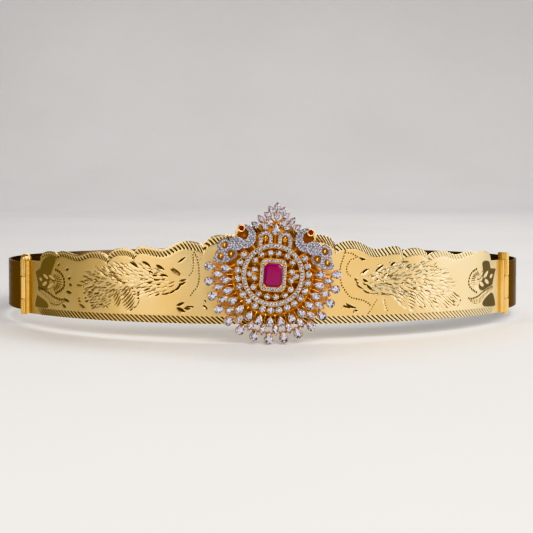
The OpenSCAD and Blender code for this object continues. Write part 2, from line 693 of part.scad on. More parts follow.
module ring_stones() {
    ring_n = floor(2 * PI * ring_r / (ring_stone_d + seam_gap));
    color("lavender") on_pendant() for (i = [0:ring_n - 1]) rotate([0, 0, 360 * i / ring_n])
        translate([ring_r, 0, ring_top - sink])
            stone(stone_outline(ROUND, ring_stone_d, ring_stone_d), ring_stone_d);
}

module inner_stones() {
    color("lavender") on_pendant() translate([0, 0, stone_z]) at_inner()
        stone(stone_outline(ROUND, inner_d, inner_d), inner_d);
}

module round_stones() {
    color("lavender") on_pendant() translate([0, 0, stone_z]) on_rays(ROUNDS, round_row)
        stone(stone_outline(ROUND, round_d, round_d), round_d);
}

module pear_stones() {
    color("lavender") on_pendant() translate([0, 0, stone_z]) on_rays(PEARS, pear_row)
        stone(stone_outline(PEAR, pear_w, pear_l), pear_w);
}

module marquise_stones() {
    color("lavender") on_pendant() translate([0, 0, stone_z]) on_rays(MARQUISES, marquise_row)
        stone(stone_outline(MARQUISE, marquise_w, marquise_l), marquise_w);
}

module arch_stones(side) {
    color("lavender") on_pendant() for (i = [0:arch_n - 1]) let (p = arch_spot(i * arch_len / (arch_n - 1)))
        translate([side * p.x, p.y, stone_z])
            stone(stone_outline(ROUND, arch_stone_d, arch_stone_d), arch_stone_d);
}

module drop_stone(i) {
    color("lavender") on_pendant() translate([0, 0, stone_z]) at_ray(i - (DROPS - 1) / 2, drop_row)
        stone(stone_outline(PEAR, drop_w, drop_l), drop_w);
}

module crown_stone(i) {
    color("lavender") on_pendant() translate([0, 0, stone_z]) at_crown(i)
        stone(stone_outline(PEAR, crown_w(i), crown_l(i)), crown_w(i));
}

front_plate();
left_hinge_pin();
right_hinge_pin();
left_strap();
right_strap();
back_clasp();
pendant_frame();
ruby();
eye_stone(-1);  // left_eye_stone
eye_stone(1);  // right_eye_stone
halo_stones();
ring_stones();
inner_stones();
round_stones();
pear_stones();
marquise_stones();
arch_stones(-1);  // left_arch_stones
arch_stones(1);  // right_arch_stones
for (i = [0:DROPS - 1]) drop_stone(i);
for (i = [0:CROWN_STONES - 1]) crown_stone(i);
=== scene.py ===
"""Dressed look of a rigid gilded waist belt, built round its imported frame.

Sizes are millimetres in the belt's own frame: the loop's axis is Z, the front faces -Y, and an azimuth
of 0 is the middle of the front and grows towards +X. `Lay` takes them to the row frame, in metres, as
the belt rests.
"""

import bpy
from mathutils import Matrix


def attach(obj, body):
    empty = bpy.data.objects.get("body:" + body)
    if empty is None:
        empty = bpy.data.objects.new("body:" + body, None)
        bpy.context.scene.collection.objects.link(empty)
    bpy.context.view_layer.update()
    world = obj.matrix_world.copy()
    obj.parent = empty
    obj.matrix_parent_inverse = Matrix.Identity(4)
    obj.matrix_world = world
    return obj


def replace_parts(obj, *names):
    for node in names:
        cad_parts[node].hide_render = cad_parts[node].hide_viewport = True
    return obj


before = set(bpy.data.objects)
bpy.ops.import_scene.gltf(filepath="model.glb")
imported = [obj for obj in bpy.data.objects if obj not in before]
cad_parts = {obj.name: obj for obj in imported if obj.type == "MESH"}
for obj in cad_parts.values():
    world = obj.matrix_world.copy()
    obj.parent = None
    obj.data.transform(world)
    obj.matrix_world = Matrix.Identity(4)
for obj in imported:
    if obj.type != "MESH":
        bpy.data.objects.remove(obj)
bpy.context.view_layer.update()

import logging
import math
from dataclasses import dataclass, field, replace
from enum import Enum, IntEnum
from typing import Iterable, Sequence

import bpy
import numpy as np
from mathutils import Matrix, Vector
from mathutils.geometry import tessellate_polygon

LOG = logging.getLogger("belt")
SEED = 7
FRONT = "front"         # the CAD body that every new piece rides on

Material = bpy.types.Material
Point = tuple[float, float]
Triple = tuple[float, float, float]
Colour = Triple
Table = tuple[Point, ...]
Faces = list[tuple[int, ...]]
Lump = tuple[np.ndarray, Faces]
Stone = tuple[np.ndarray, Faces, list[float]]


class Side(IntEnum):
    """Halves of the belt. Their values are the signs of their places across."""

    LEFT = -1
    RIGHT = 1

    @property
    def word(self) -> str:
        """The half in the names of pieces."""
        return self.name.lower()

    def mirror(self, lump: Lump) -> Lump:
        """Puts a lump of the right half on this one.

        Args:
            lump: Vertices and faces on the right half.

        Returns:
            Vertices and faces on this half, with the faces still facing outwards.
        """
        verts, faces = lump
        if self is Side.LEFT:
            faces = [tuple(reversed(face)) for face in faces]
        return verts * (int(self), 1, 1), faces


class Cut(Enum):
    """Outlines that stones are cut to."""

    ROUND = "round"
    PEAR = "pear"
    MARQUISE = "marquise"


class Slot(Enum):
    """Names of the record's material slots."""

    ENGRAVED = "engraved_gold"
    HINGE = "hinge_gold"
    CAST = "cast_gold"
    WHITE = "white_stone"
    RUBY = "ruby"
    DARK_RED = "dark_red_stone"


# Places


@dataclass(frozen=True)
class Lay:
    """How the belt lies on its table: it leans back a little, on its lowest drops and its clasp."""

    tilt: float = 1.71105
    lift: float = 3.38231
    shift: float = 3.71702

    def matrix(self) -> Matrix:
        """The lay as a matrix that also turns millimetres into metres."""
        turn = Matrix.Rotation(math.radians(-self.tilt), 4, "X")
        return Matrix.Scale(0.001, 4) @ Matrix.Translation((0, self.shift, self.lift)) @ turn


@dataclass(frozen=True)
class Loop:
    """The loop that the plate and the straps follow."""

    radius: float = 114.0
    sheet: float = 1.0

    def place(self, s: np.ndarray, r: np.ndarray | float, z: np.ndarray) -> np.ndarray:
        """Points s along the sheet from the middle of the front, r from the axis and z up, one row each."""
        a = np.asarray(s) / self.radius
        return np.stack([r * np.sin(a), -r * np.cos(a), z + 0 * a], axis=-1)

    def foot(self, s: float, r: float) -> Triple:
        """Where an upright stands, s along the sheet and r from the loop's axis."""
        a = s / self.radius
        return r * math.sin(a), -r * math.cos(a), 0.0


LAY = Lay()
LOOP = Loop()


@dataclass(frozen=True)
class PendantPlace:
    """Where the pendant's own frame lies: X across, Y up its middle line, Z out of its face."""

    azimuth: float = 0.5
    lean: float = 3.8
    back: float = 118.8
    height: float = 19.1

    def matrix(self) -> Matrix:
        """The pendant's own frame in the row frame.

        Returns:
            The frame as a matrix.
        """
        turn = Matrix.Rotation(math.radians(self.azimuth), 4, "Z")
        upright = Matrix.Rotation(math.radians(90), 4, "X")
        face = upright @ Matrix.Rotation(math.radians(-self.lean), 4, "Z")
        return LAY.matrix() @ turn @ Matrix.Translation((0, -self.back, self.height)) @ face


PENDANT = PendantPlace()


def follow(at: np.ndarray | float, table: Sequence[Point]) -> np.ndarray:
    """Values at some places, between the rows of a table of places and values."""
    return np.interp(at, *zip(*table))


def lengths(line: np.ndarray) -> np.ndarray:
    """How far along a line each of its corners lies."""
    return np.concatenate([[0], np.cumsum(np.hypot(*np.diff(line, axis=0).T))])


def walk(line: np.ndarray, at: np.ndarray) -> np.ndarray:
    """Points at some distances along a line, one row each."""
    far = lengths(line)
    return np.column_stack([np.interp(at, far, line[:, k]) for k in (0, 1)])


def spread(corners: Sequence[Point], count: int) -> np.ndarray:
    """Points spread evenly along a line, one row each."""
    line = np.array(corners, float)
    return walk(line, np.linspace(0, lengths(line)[-1], count))


def circle(count: int) -> np.ndarray:
    """Angles of points that stand evenly round a circle."""
    return np.linspace(0, 2 * math.pi, count, endpoint=False)


# Meshes


@dataclass
class Shape:
    """A mesh in the making: vertices, faces and one number a vertex for each named layer."""

    layers: tuple[str, ...] = ()
    verts: list[np.ndarray] = field(default_factory=list)
    faces: Faces = field(default_factory=list)
    values: dict[str, list[np.ndarray]] = field(default_factory=dict)
    tones: list[float] = field(default_factory=list)
    count: int = 0

    def add(self, verts: np.ndarray, faces: Iterable[Sequence[int]], tones: Sequence[float] = (),
            **layers: np.ndarray) -> None:
        """Adds a lump of mesh.

        Args:
            verts: Points, one row each.
            faces: Indices into verts.
            tones: One number a face for the `tone` layer, or none.
            **layers: One number a vertex for each named layer.
        """
        faces = [tuple(int(i) + self.count for i in f) for f in faces]
        self.verts.append(np.asarray(verts, float))
        self.faces += faces
        self.tones += list(tones) if len(tones) else [0.5] * len(faces)
        for name in self.layers:
            given = layers.get(name, np.zeros(len(verts)))
            self.values.setdefault(name, []).append(np.asarray(given, float).ravel())
        self.count += len(verts)

    def make(self, name: str, matrix: Matrix, material: Material,
             sharp: float | None) -> bpy.types.Object:
        """Turns the lumps into one object that rides on the front.

        Args:
            name: The piece's name.
            matrix: Takes the lumps' own frame to the row frame.
            material: The finish.
            sharp: Edges sharper than this many degrees stay sharp, and None shades every face flat.

        Returns:
            The new object.
        """
        turn = np.array(matrix)
        points = np.vstack(self.verts) @ turn[:3, :3].T + turn[:3, 3]
        mesh = bpy.data.meshes.new(name)
        mesh.from_pydata(points.tolist(), [], self.faces)
        for layer in self.layers:
            attribute = mesh.attributes.new(layer, "FLOAT", "POINT")
            attribute.data.foreach_set("value", np.concatenate(self.values[layer]).astype(np.float32))
        tone = mesh.attributes.new("tone", "FLOAT", "FACE")
        tone.data.foreach_set("value", np.array(self.tones, np.float32))
        if sharp is not None:
            mesh.shade_smooth()
            mesh.set_sharp_from_angle(angle=math.radians(sharp))
        mesh.materials.append(material)
        made = bpy.data.objects.new(name, mesh)
        bpy.context.scene.collection.objects.link(made)
        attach(made, FRONT)
        LOG.info("%s: %d faces", name, len(self.faces))
        return made


def bands(rows: int, sides: int, first: int = 0) -> Faces:
    """Quads between rings of vertices that lie one on the other.

    Args:
        rows: Number of rings.
        sides: Vertices in a ring.
        first: Index of the lowest ring's first vertex.

    Returns:
        The faces, ring by ring.
    """
    return [(first + k * sides + i, first + k * sides + (i + 1) % sides,
             first + (k + 1) * sides + (i + 1) % sides, first + (k + 1) * sides + i)
            for k in range(rows - 1) for i in range(sides)]


def caps(rows: int, sides: int) -> Faces:
    """The lowest and the highest ring as two faces."""
    return [tuple(reversed(range(sides))), tuple((rows - 1) * sides + i for i in range(sides))]


def lathe(profile: Sequence[Point], sides: int) -> Lump:
    """A body turned about Z, open at both ends.

    Args:
        profile: Radii and heights, from the lower end up.
        sides: Number of sides round the axis.

    Returns:
        Vertices and faces.
    """
    a = circle(sides)
    rings = [np.stack([r * np.cos(a), r * np.sin(a), z + 0 * a], axis=-1) for r, z in profile]
    return np.vstack(rings), bands(len(profile), sides)


def bead(radius: float, height: float, sides: int, rings: int) -> Lump:
    """A rounded bead about the origin.

    Args:
        radius: Half its width.
        height: Half its height.
        sides: Number of sides.
        rings: Number of rings between the poles.

    Returns:
        Vertices and faces.
    """
    a = circle(sides)
    levels = []
    for k in range(1, rings + 1):
        t = math.pi * k / (rings + 1)
        wide = radius * math.sin(t)
        levels.append(np.stack([wide * np.cos(a), wide * np.sin(a), -height * math.cos(t) + 0 * a], axis=-1))
    last = 1 + (rings - 1) * sides
    top = last + sides
    faces: Faces = [(0, 1 + (i + 1) % sides, 1 + i) for i in range(sides)]
    faces += [(last + i, last + (i + 1) % sides, top) for i in range(sides)]
    return np.vstack([[(0, 0, -height)], *levels, [(0, 0, height)]]), faces + bands(rings, sides, 1)


RIDGE, RIDGE_FACES = bead(1.0, 1.0, 10, 7)      # stretched to make ridges and bars
GRAIN, GRAIN_FACES = bead(0.1, 0.1, 6, 3)       # between the birds' stones


def torus(radius: float, thick: float, around: int, sides: int) -> Lump:
    """A round ring of round wire about Z.

    Args:
        radius: Radius of the ring's middle line.
        thick: Radius of the wire.
        around: Number of steps round the ring.
        sides: Number of sides round the wire.

    Returns:
        Vertices and faces.
    """
    a, b = np.meshgrid(circle(around), circle(sides), indexing="ij")
    out = radius + thick * np.cos(b)
    verts = np.stack([out * np.cos(a), out * np.sin(a), thick * np.sin(b)], axis=-1).reshape(-1, 3)
    faces: Faces = []
    for i in range(around):
        near, far = i * sides, (i + 1) % around * sides
        for j in range(sides):
            after = (j + 1) % sides
            faces.append((near + j, far + j, far + after, near + after))
    return verts, faces


def rounded(loop: Sequence[Point]) -> np.ndarray:
    """Rounds a closed outline by cutting its corners off twice.

    Args:
        loop: The outline's corners.

    Returns:
        The outline's points, counterclockwise.
    """
    points = np.array(loop, float)
    for _ in range(2):
        after = np.roll(points, -1, axis=0)
        pair = [points * 0.75 + after * 0.25, points * 0.25 + after * 0.75]
        points = np.stack(pair, axis=1).reshape(-1, 2)
    after = np.roll(points, -1, axis=0)
    area = (points[:, 0] * after[:, 1] - after[:, 0] * points[:, 1]).sum()
    return points if area > 0 else points[::-1]


@dataclass(frozen=True)
class Region:
    """A flat region inside a round outline and outside its holes."""

    outline: Table
    holes: tuple[Table, ...] = ()

    def loops(self) -> list[np.ndarray]:
        """The outline counterclockwise and the holes clockwise."""
        return [rounded(self.outline), *(rounded(hole)[::-1] for hole in self.holes)]

    def depth(self, x: np.ndarray, y: np.ndarray) -> np.ndarray:
        """How far points lie inside the region.

        Args:
            x: Places across.
            y: Places up.

        Returns:
            Distances to the rim, less than 0 for points outside.
        """
        near, odd = np.full(np.shape(x), 1e9), np.zeros(np.shape(x), bool)
        for loop in self.loops():
            for (x0, y0), (x1, y1) in zip(loop, np.roll(loop, -1, axis=0)):
                dx, dy = x1 - x0, y1 - y0
                t = np.clip(((x - x0) * dx + (y - y0) * dy) / (dx * dx + dy * dy), 0, 1)
                near = np.minimum(near, np.hypot(x - x0 - t * dx, y - y0 - t * dy))
                if y0 != y1:
                    odd ^= ((y0 > y) != (y1 > y)) & (x < x0 + (y - y0) * dx / dy)
        return np.where(odd, near, -near)

    def slab(self, low: float, high: float) -> Lump:
        """A plate of this shape.

        Args:
            low: Height of its back.
            high: Height of its face.

        Returns:
            Vertices and faces.
        """
        loops = self.loops()
        flat = np.vstack(loops)
        n = len(flat)
        verts = np.vstack([np.column_stack([flat, np.full(n, z)]) for z in (low, high)])
        faces: Faces = []
        for a, b, c in tessellate_polygon([[Vector((x, y, 0)) for x, y in loop] for loop in loops]):
            (x0, y0), (x1, y1), (x2, y2) = flat[[a, b, c]]
            up = (x1 - x0) * (y2 - y0) - (x2 - x0) * (y1 - y0) > 0
            tri = (a, b, c) if up else (a, c, b)
            faces += [tuple(i + n for i in tri), tuple(reversed(tri))]
        start = 0
        for loop in loops:
            k = len(loop)
            for i in range(k):
                here, there = start + i, start + (i + 1) % k
                faces.append((here, there, there + n, here + n))
            start += k
        return verts, faces


# Shader nodes


class Signal:
    """A node's output that Python's operators turn into Math nodes."""

    def __init__(self, shader: "Shader", socket: bpy.types.NodeSocket) -> None:
        """Wraps a socket of a shader's tree."""
        self.shader = shader
        self.socket = socket

    def math(self, operation: str, *others: "Signal | float", flip: bool = False) -> "Signal":
        """The result of a Math node that takes this signal, last if flip is set, and the others."""
        values: list[Signal | float] = [*others, self] if flip else [self, *others]
        return self.shader.node("ShaderNodeMath", {"operation": operation}, dict(enumerate(values)))

    def __add__(self, other: "Signal | float") -> "Signal":
        """This plus other."""
        return self.math("ADD", other)

    __radd__ = __add__

    def __mul__(self, other: "Signal | float") -> "Signal":
        """This times other."""
        return self.math("MULTIPLY", other)

    __rmul__ = __mul__

    def __sub__(self, other: "Signal | float") -> "Signal":
        """This minus other."""
        return self.math("SUBTRACT", other)

    def __rsub__(self, other: "Signal | float") -> "Signal":
        """Other minus this."""
        return self.math("SUBTRACT", other, flip=True)

    def __or__(self, other: "Signal | float") -> "Signal":
        """The larger of this and other."""
        return self.math("MAXIMUM", other)

    __ror__ = __or__

    def ramp(self, low: float, high: float, to_low: float = 0.0, to_high: float = 1.0) -> "Signal":
        """Eases from to_low, at low and below, to to_high, at high and above."""
        return self.shader.node("ShaderNodeMapRange", {"interpolation_type": "SMOOTHSTEP"},
                                {0: self, 1: low, 2: high, 3: to_low, 4: to_high})


class Shader:
    """A material with one Principled shader, and the nodes that feed it."""

    def __init__(self, name: str, **constants: object) -> None:
        """Makes the material.

        Args:
            name: The material's name.
            **constants: Values of the shader's sockets, with underscores for spaces.
        """
        self.material = bpy.data.materials.new(name)
        self.material.use_nodes = True
        self.tree = self.material.node_tree
        self.surface = self.tree.nodes["Principled BSDF"]
        for key, value in constants.items():
            self.surface.inputs[key.replace("_", " ")].default_value = value

    def node(self, kind: str, settings: dict[str, object] | None = None,
             sockets: dict[int | str, object] | None = None, output: int | str = 0) -> Signal:
        """Adds any node.

        Args:
            kind: The node's type.
            settings: Its settings, which are set first.
            sockets: Values or signals of its inputs.
            output: Which of its outputs is wanted.

        Returns:
            That output.
        """
        made = self.tree.nodes.new(kind)
        for key, value in (settings or {}).items():
            setattr(made, key, value)
        for key, value in (sockets or {}).items():
            if isinstance(value, Signal):
                self.tree.links.new(value.socket, made.inputs[key])
            else:
                made.inputs[key].default_value = value
        return Signal(self, made.outputs[output])

    def layer(self, name: str) -> Signal:
        """The mesh's named layer of numbers."""
        return self.node("ShaderNodeAttribute", {"attribute_name": name}, output="Fac")

    def place(self) -> Signal:
        """The point on the surface, in metres of the row frame."""
        return self.node("ShaderNodeTexCoord", output="Object")

    def along(self, direction: Sequence[float]) -> Signal:
        """How far the point lies along a direction, in metres."""
        return self.node("ShaderNodeVectorMath", {"operation": "DOT_PRODUCT"},
                         {0: self.place(), 1: tuple(direction)}, "Value")

    def noise(self, scale: float, detail: float, stretch: Sequence[float] = (1, 1, 1),
              roughness: float = 0.5) -> Signal:
        """Noise over the surface.

        Args:
            scale: Waves a metre, about.
            detail: Number of finer octaves.
            stretch: Factors on the three axes.
            roughness: Share of the finer octaves.

        Returns:
            Numbers about 0.5.
        """
        spot = self.node("ShaderNodeVectorMath", {"operation": "MULTIPLY"},
                         {0: self.place(), 1: tuple(stretch)})
        return self.node("ShaderNodeTexNoise", {}, {"Vector": spot, "Scale": scale, "Detail": detail,
                                                    "Roughness": roughness})

    def wiped(self) -> Signal:
        """Noise drawn out into the fine level lines that a polishing cloth leaves."""
        return self.noise(30, 4, (1, 1, 160), 0.65)

    def blend(self, share: Signal | float, low: Signal | Colour, high: Signal | Colour) -> Signal:
        """The first colour where share is 0, the second where it is 1, and a mix of them between."""
        pair = [c if isinstance(c, Signal) else (*c, 1) for c in (low, high)]
        return self.node("ShaderNodeMix", {"data_type": "RGBA"}, {0: share, 6: pair[0], 7: pair[1]}, 2)

    def relief(self, height: Signal, depth: float, base: Signal | None = None) -> Signal:
        """A bumped normal.

        Args:
            height: Height of the relief, from 0 to 1.
            depth: Depth of the relief in metres.
            base: A normal that it goes on top of.

        Returns:
            The normal.
        """
        sockets: dict[int | str, object] = {"Height": height, "Distance": depth, "Strength": 1.0}
        if base is not None:
            sockets["Normal"] = base
        return self.node("ShaderNodeBump", {}, sockets)

    def finish(self, **signals: Signal) -> Material:
        """Feeds the shader and hands the material over.

        Args:
            **signals: What feeds each socket, with underscores for spaces.

        Returns:
            The material.
        """
        for key, value in signals.items():
            self.tree.links.new(value.socket, self.surface.inputs[key.replace("_", " ")])
        return self.material


# Finishes

# cut is painted shade in strokes and dots, bright a painted highlight on their bright sides, patch the matt
# patches painted dark as shade, behind painted shade and reflection under the pendant
PLATE_LAYERS = ("cut", "bright", "patch", "behind")


@dataclass(frozen=True)
class EngravedGold:
    """Satin gilding with bright-cut strokes, each with a dark side of painted shade and a bright side of
    painted highlight.

    Places are in metres, leftwards from the middle of the plate.
    """

    light: Colour = (1.0, 0.75, 0.37)
    warm: Colour = (0.92, 0.62, 0.24)
    # painted shade: the colour that darkens the plate's left end
    left_shade: Colour = (0.44, 0.29, 0.065)
    # painted reflection: the paler colour that the plate's right end takes
    pale: Colour = (0.80, 0.73, 0.47)
    # painted highlight on the bright sides of the strokes
    shine: Colour = (1.0, 0.89, 0.58)
    # painted shade in the strokes: a brown in shallow cuts, near black on the steep sides of deep ones
    faint: Colour = (0.26, 0.145, 0.04)
    groove: Colour = (0.022, 0.010, 0.0012)
    # painted shade and painted reflection of the pendant's gold on the plate behind it
    behind: Colour = (0.50, 0.17, 0.015)
    # the matt patches: matt ground painted dark as shade, much darker on the right half
    patch: Colour = (0.20, 0.125, 0.026)
    patch_right: Colour = (0.058, 0.033, 0.007)
    right_reflection_fade: Point = (-0.085, -0.05)
    highlight_fade: Point = (-0.03, 0.03)
    patch_fade: Point = (-0.05, 0.05)
    left_shade_fade: Point = (0.045, 0.112)
    grain: float = 0.00003
    waves: float = 0.00006

    def material(self) -> Material:
        """Makes the finish.

        Returns:
            The material.
        """
        shader = Shader("engraved_gold", Specular_IOR_Level=0.12)
        cut, bright, patch, behind = (shader.layer(name) for name in PLATE_LAYERS)
        cloud = shader.noise(55, 3)
        left = shader.along((-1, 0, 0))
        ground = shader.blend(cloud.ramp(0.3, 0.75), self.light, self.warm)
        # painted reflection: the plate pales towards its right end
        ground = shader.blend(left.ramp(*self.right_reflection_fade, 0.6, 0.0), ground, self.pale)
        # painted highlight on the strokes' bright sides, stronger on the right half
        ground = shader.blend(bright * left.ramp(*self.highlight_fade, 0.85, 0.3), ground, self.shine)
        # painted shade: the plate darkens towards its left end
        left_shaded = shader.blend(left.ramp(*self.left_shade_fade) * 0.9, ground, self.left_shade)
        # matt patches: matt ground painted dark as shade
        matt_patch_shade = shader.blend(left.ramp(*self.patch_fade), self.patch_right, self.patch)
        # painted shade and reflection of the pendant on the plate behind it
        shaded = shader.blend(behind, shader.blend(patch, left_shaded, matt_patch_shade), self.behind)
        # painted shade in the strokes, deepest on their steep sides
        dark = cut.ramp(0.4, 0.85)
        colour = shader.blend(cut.ramp(0.0, 0.45), shaded, self.faint)
        colour = shader.blend(dark, colour, self.groove)
        rough = cloud.ramp(0.3, 0.7, 0.27, 0.35) + patch * 0.2 - bright * 0.1 + dark * 0.25
        grain = shader.relief(shader.noise(1600, 2), self.grain)
        waves = shader.relief(shader.noise(140, 2), self.waves, grain)
        return shader.finish(Base_Color=colour, Roughness=rough, Metallic=1 - dark * 0.92, Normal=waves)


@dataclass(frozen=True)
class PolishedGold:
    """Polished gilding with fine wiping lines that run level, and a few handling marks."""

    name: str = "polished_gold"
    light: Colour = (0.98, 0.68, 0.26)
    warm: Colour = (0.84, 0.50, 0.13)
    rough: float = 0.14
    lines: float = 0.000004

    def material(self) -> Material:
        """Makes the finish.

        Returns:
            The material.
        """
        shader = Shader(self.name, Metallic=1.0)
        cloud, wiped = shader.noise(40, 4), shader.wiped()
        colour = shader.blend(cloud.ramp(0.35, 0.7), self.light, self.warm)
        rough = wiped.ramp(0.35, 0.7, self.rough, self.rough + 0.1) + cloud.ramp(0.5, 0.8) * 0.06
        return shader.finish(Base_Color=colour, Roughness=rough, Normal=shader.relief(wiped, self.lines))


@dataclass(frozen=True)
class StrapGold:
    """Gold sheet painted dark bronze, as painted shade and dark reflection, whose soldered hinge tube is
    polished like the rest of the hinge.

    The tube's end is in millimetres backwards.
    """

    # painted shade: the strap's gold darkened to a dark bronze
    light: Colour = (0.23, 0.155, 0.085)
    warm: Colour = (0.19, 0.125, 0.065)
    tube: Colour = (0.95, 0.64, 0.24)
    edge: Colour = (0.38, 0.29, 0.21)
    tube_end: float = -49.7
    tube_fade: float = 0.3
    rough: float = 0.2
    lines: float = 0.000004

    def material(self) -> Material:
        """Makes the finish.

        Returns:
            The material.
        """
        shader = Shader("strap_gold", Metallic=1.0, Specular_Tint=(*self.edge, 1))
        wiped = shader.wiped()
        sheet = shader.blend(shader.noise(40, 4).ramp(0.35, 0.7), self.light, self.warm)
        backwards = shader.along((0, 1, 0)) * 1000
        on_tube = backwards.ramp(self.tube_end - self.tube_fade, self.tube_end, 1, 0)
        colour = shader.blend(on_tube, sheet, self.tube)
        rough = wiped.ramp(0.35, 0.7, self.rough, self.rough + 0.1) - on_tube * 0.14
        return shader.finish(Base_Color=colour, Roughness=rough, Normal=shader.relief(wiped, self.lines))


@dataclass(frozen=True)
class CastGold:
    """Gilded casting with painted light: lighter on its rims, painted shade and reflected orange low between
    them, and painted glints.

    Heights are in millimetres from the back of the pendant.
    """

    name: str = "cast_gold"
    # painted light: the lighter colour of the high rims
    rim: Colour = (0.66, 0.30, 0.06)
    # painted shade and reflected orange low between the rims
    deep: Colour = (0.46, 0.15, 0.014)
    # painted glints
    glint: Colour = (1.0, 0.66, 0.20)
    floor: float = 1.6
    face: float = 2.5
    glint_tips: Point = (2.65, 2.85)
    grain: float = 0.00003

    def material(self) -> Material:
        """Makes the finish.

        Returns:
            The material.
        """
        shader = Shader(self.name, Metallic=1.0)
        frame_of = PENDANT.matrix()
        out = (frame_of.to_3x3() @ Vector((0, 0, 1))).normalized()
        height = (shader.along(out) - frame_of.translation.dot(out)) * 1000
        cloud = shader.noise(900, 3)
        share = (height + cloud * 0.5).ramp(self.floor, self.face)
        # painted glints on noise spots and on the highest tips
        glints = shader.noise(420, 2).ramp(0.54, 0.62) * share.ramp(0, 1, 0.35, 1)
        # painted shade and reflection low down, lighter on the rims
        ground = shader.blend(share, self.deep, self.rim)
        colour = shader.blend(glints | height.ramp(*self.glint_tips) * 0.75, ground, self.glint)
        rough = share.ramp(0, 1, 0.34, 0.2) + cloud.ramp(0.4, 0.8) * 0.1
        return shader.finish(Base_Color=colour, Roughness=rough, Normal=shader.relief(cloud, self.grain))


@dataclass(frozen=True)
class CutStone:
    """A faceted stone with painted reflections: each facet's tone, with painted flecks, picks between a
    painted bright and a painted dark colour.
    """

    name: str
    bright: Colour
    dark: Colour
    metal: float = 0.25
    rough: float = 0.07
    flecks: float = 0.3

    def material(self) -> Material:
        """Makes the finish.

        Returns:
            The material.
        """
        shader = Shader(self.name, Metallic=self.metal, IOR=1.5, Coat_Weight=0.2, Coat_Roughness=0.03)
        fleck = shader.noise(2400, 1).ramp(0.35, 0.65)
        share = (shader.layer("tone") * (1 - self.flecks) + fleck * self.flecks).ramp(0.34, 0.76)
        rough = fleck.ramp(0, 1, self.rough, self.rough + 0.08)
        return shader.finish(Base_Color=shader.blend(share, self.dark, self.bright), Roughness=rough)


@dataclass(frozen=True)
class PaleFloor:
    """Plain pale studio floor and sweep."""

    pale: Colour = (0.72, 0.71, 0.70)
    worn: Colour = (0.68, 0.67, 0.66)

    def material(self) -> Material:
        """Makes the finish.

        Returns:
            The material.
        """
        shader = Shader("pale_floor", Roughness=0.6, Specular_IOR_Level=0.3)
        cloud = shader.noise(4, 4).ramp(0.3, 0.7)
        return shader.finish(Base_Color=shader.blend(cloud, self.pale, self.worn))


# Front plate


@dataclass(frozen=True)
class Motif:
    """What one half of the plate carries. Places are distances from the middle, and heights."""

    cuts: tuple[tuple[float, ...], ...]         # start, end, greatest width, painted shade of the steep side
    dots: tuple[tuple[Table, float], ...]       # corners of a row of punched dots, their painted shade
    lines: tuple[tuple[Table, float, float], ...]       # corners of an engraved line, width, painted shade of its steep side
    hatches: tuple[tuple[Point, Point, float, float, float, float, float], ...]
    leaves: tuple[tuple[float, ...], ...]       # the two ends of each leaf near the hinge
    matt_patches: tuple[Region, ...]                  # matt patches behind those leaves, painted dark as shade
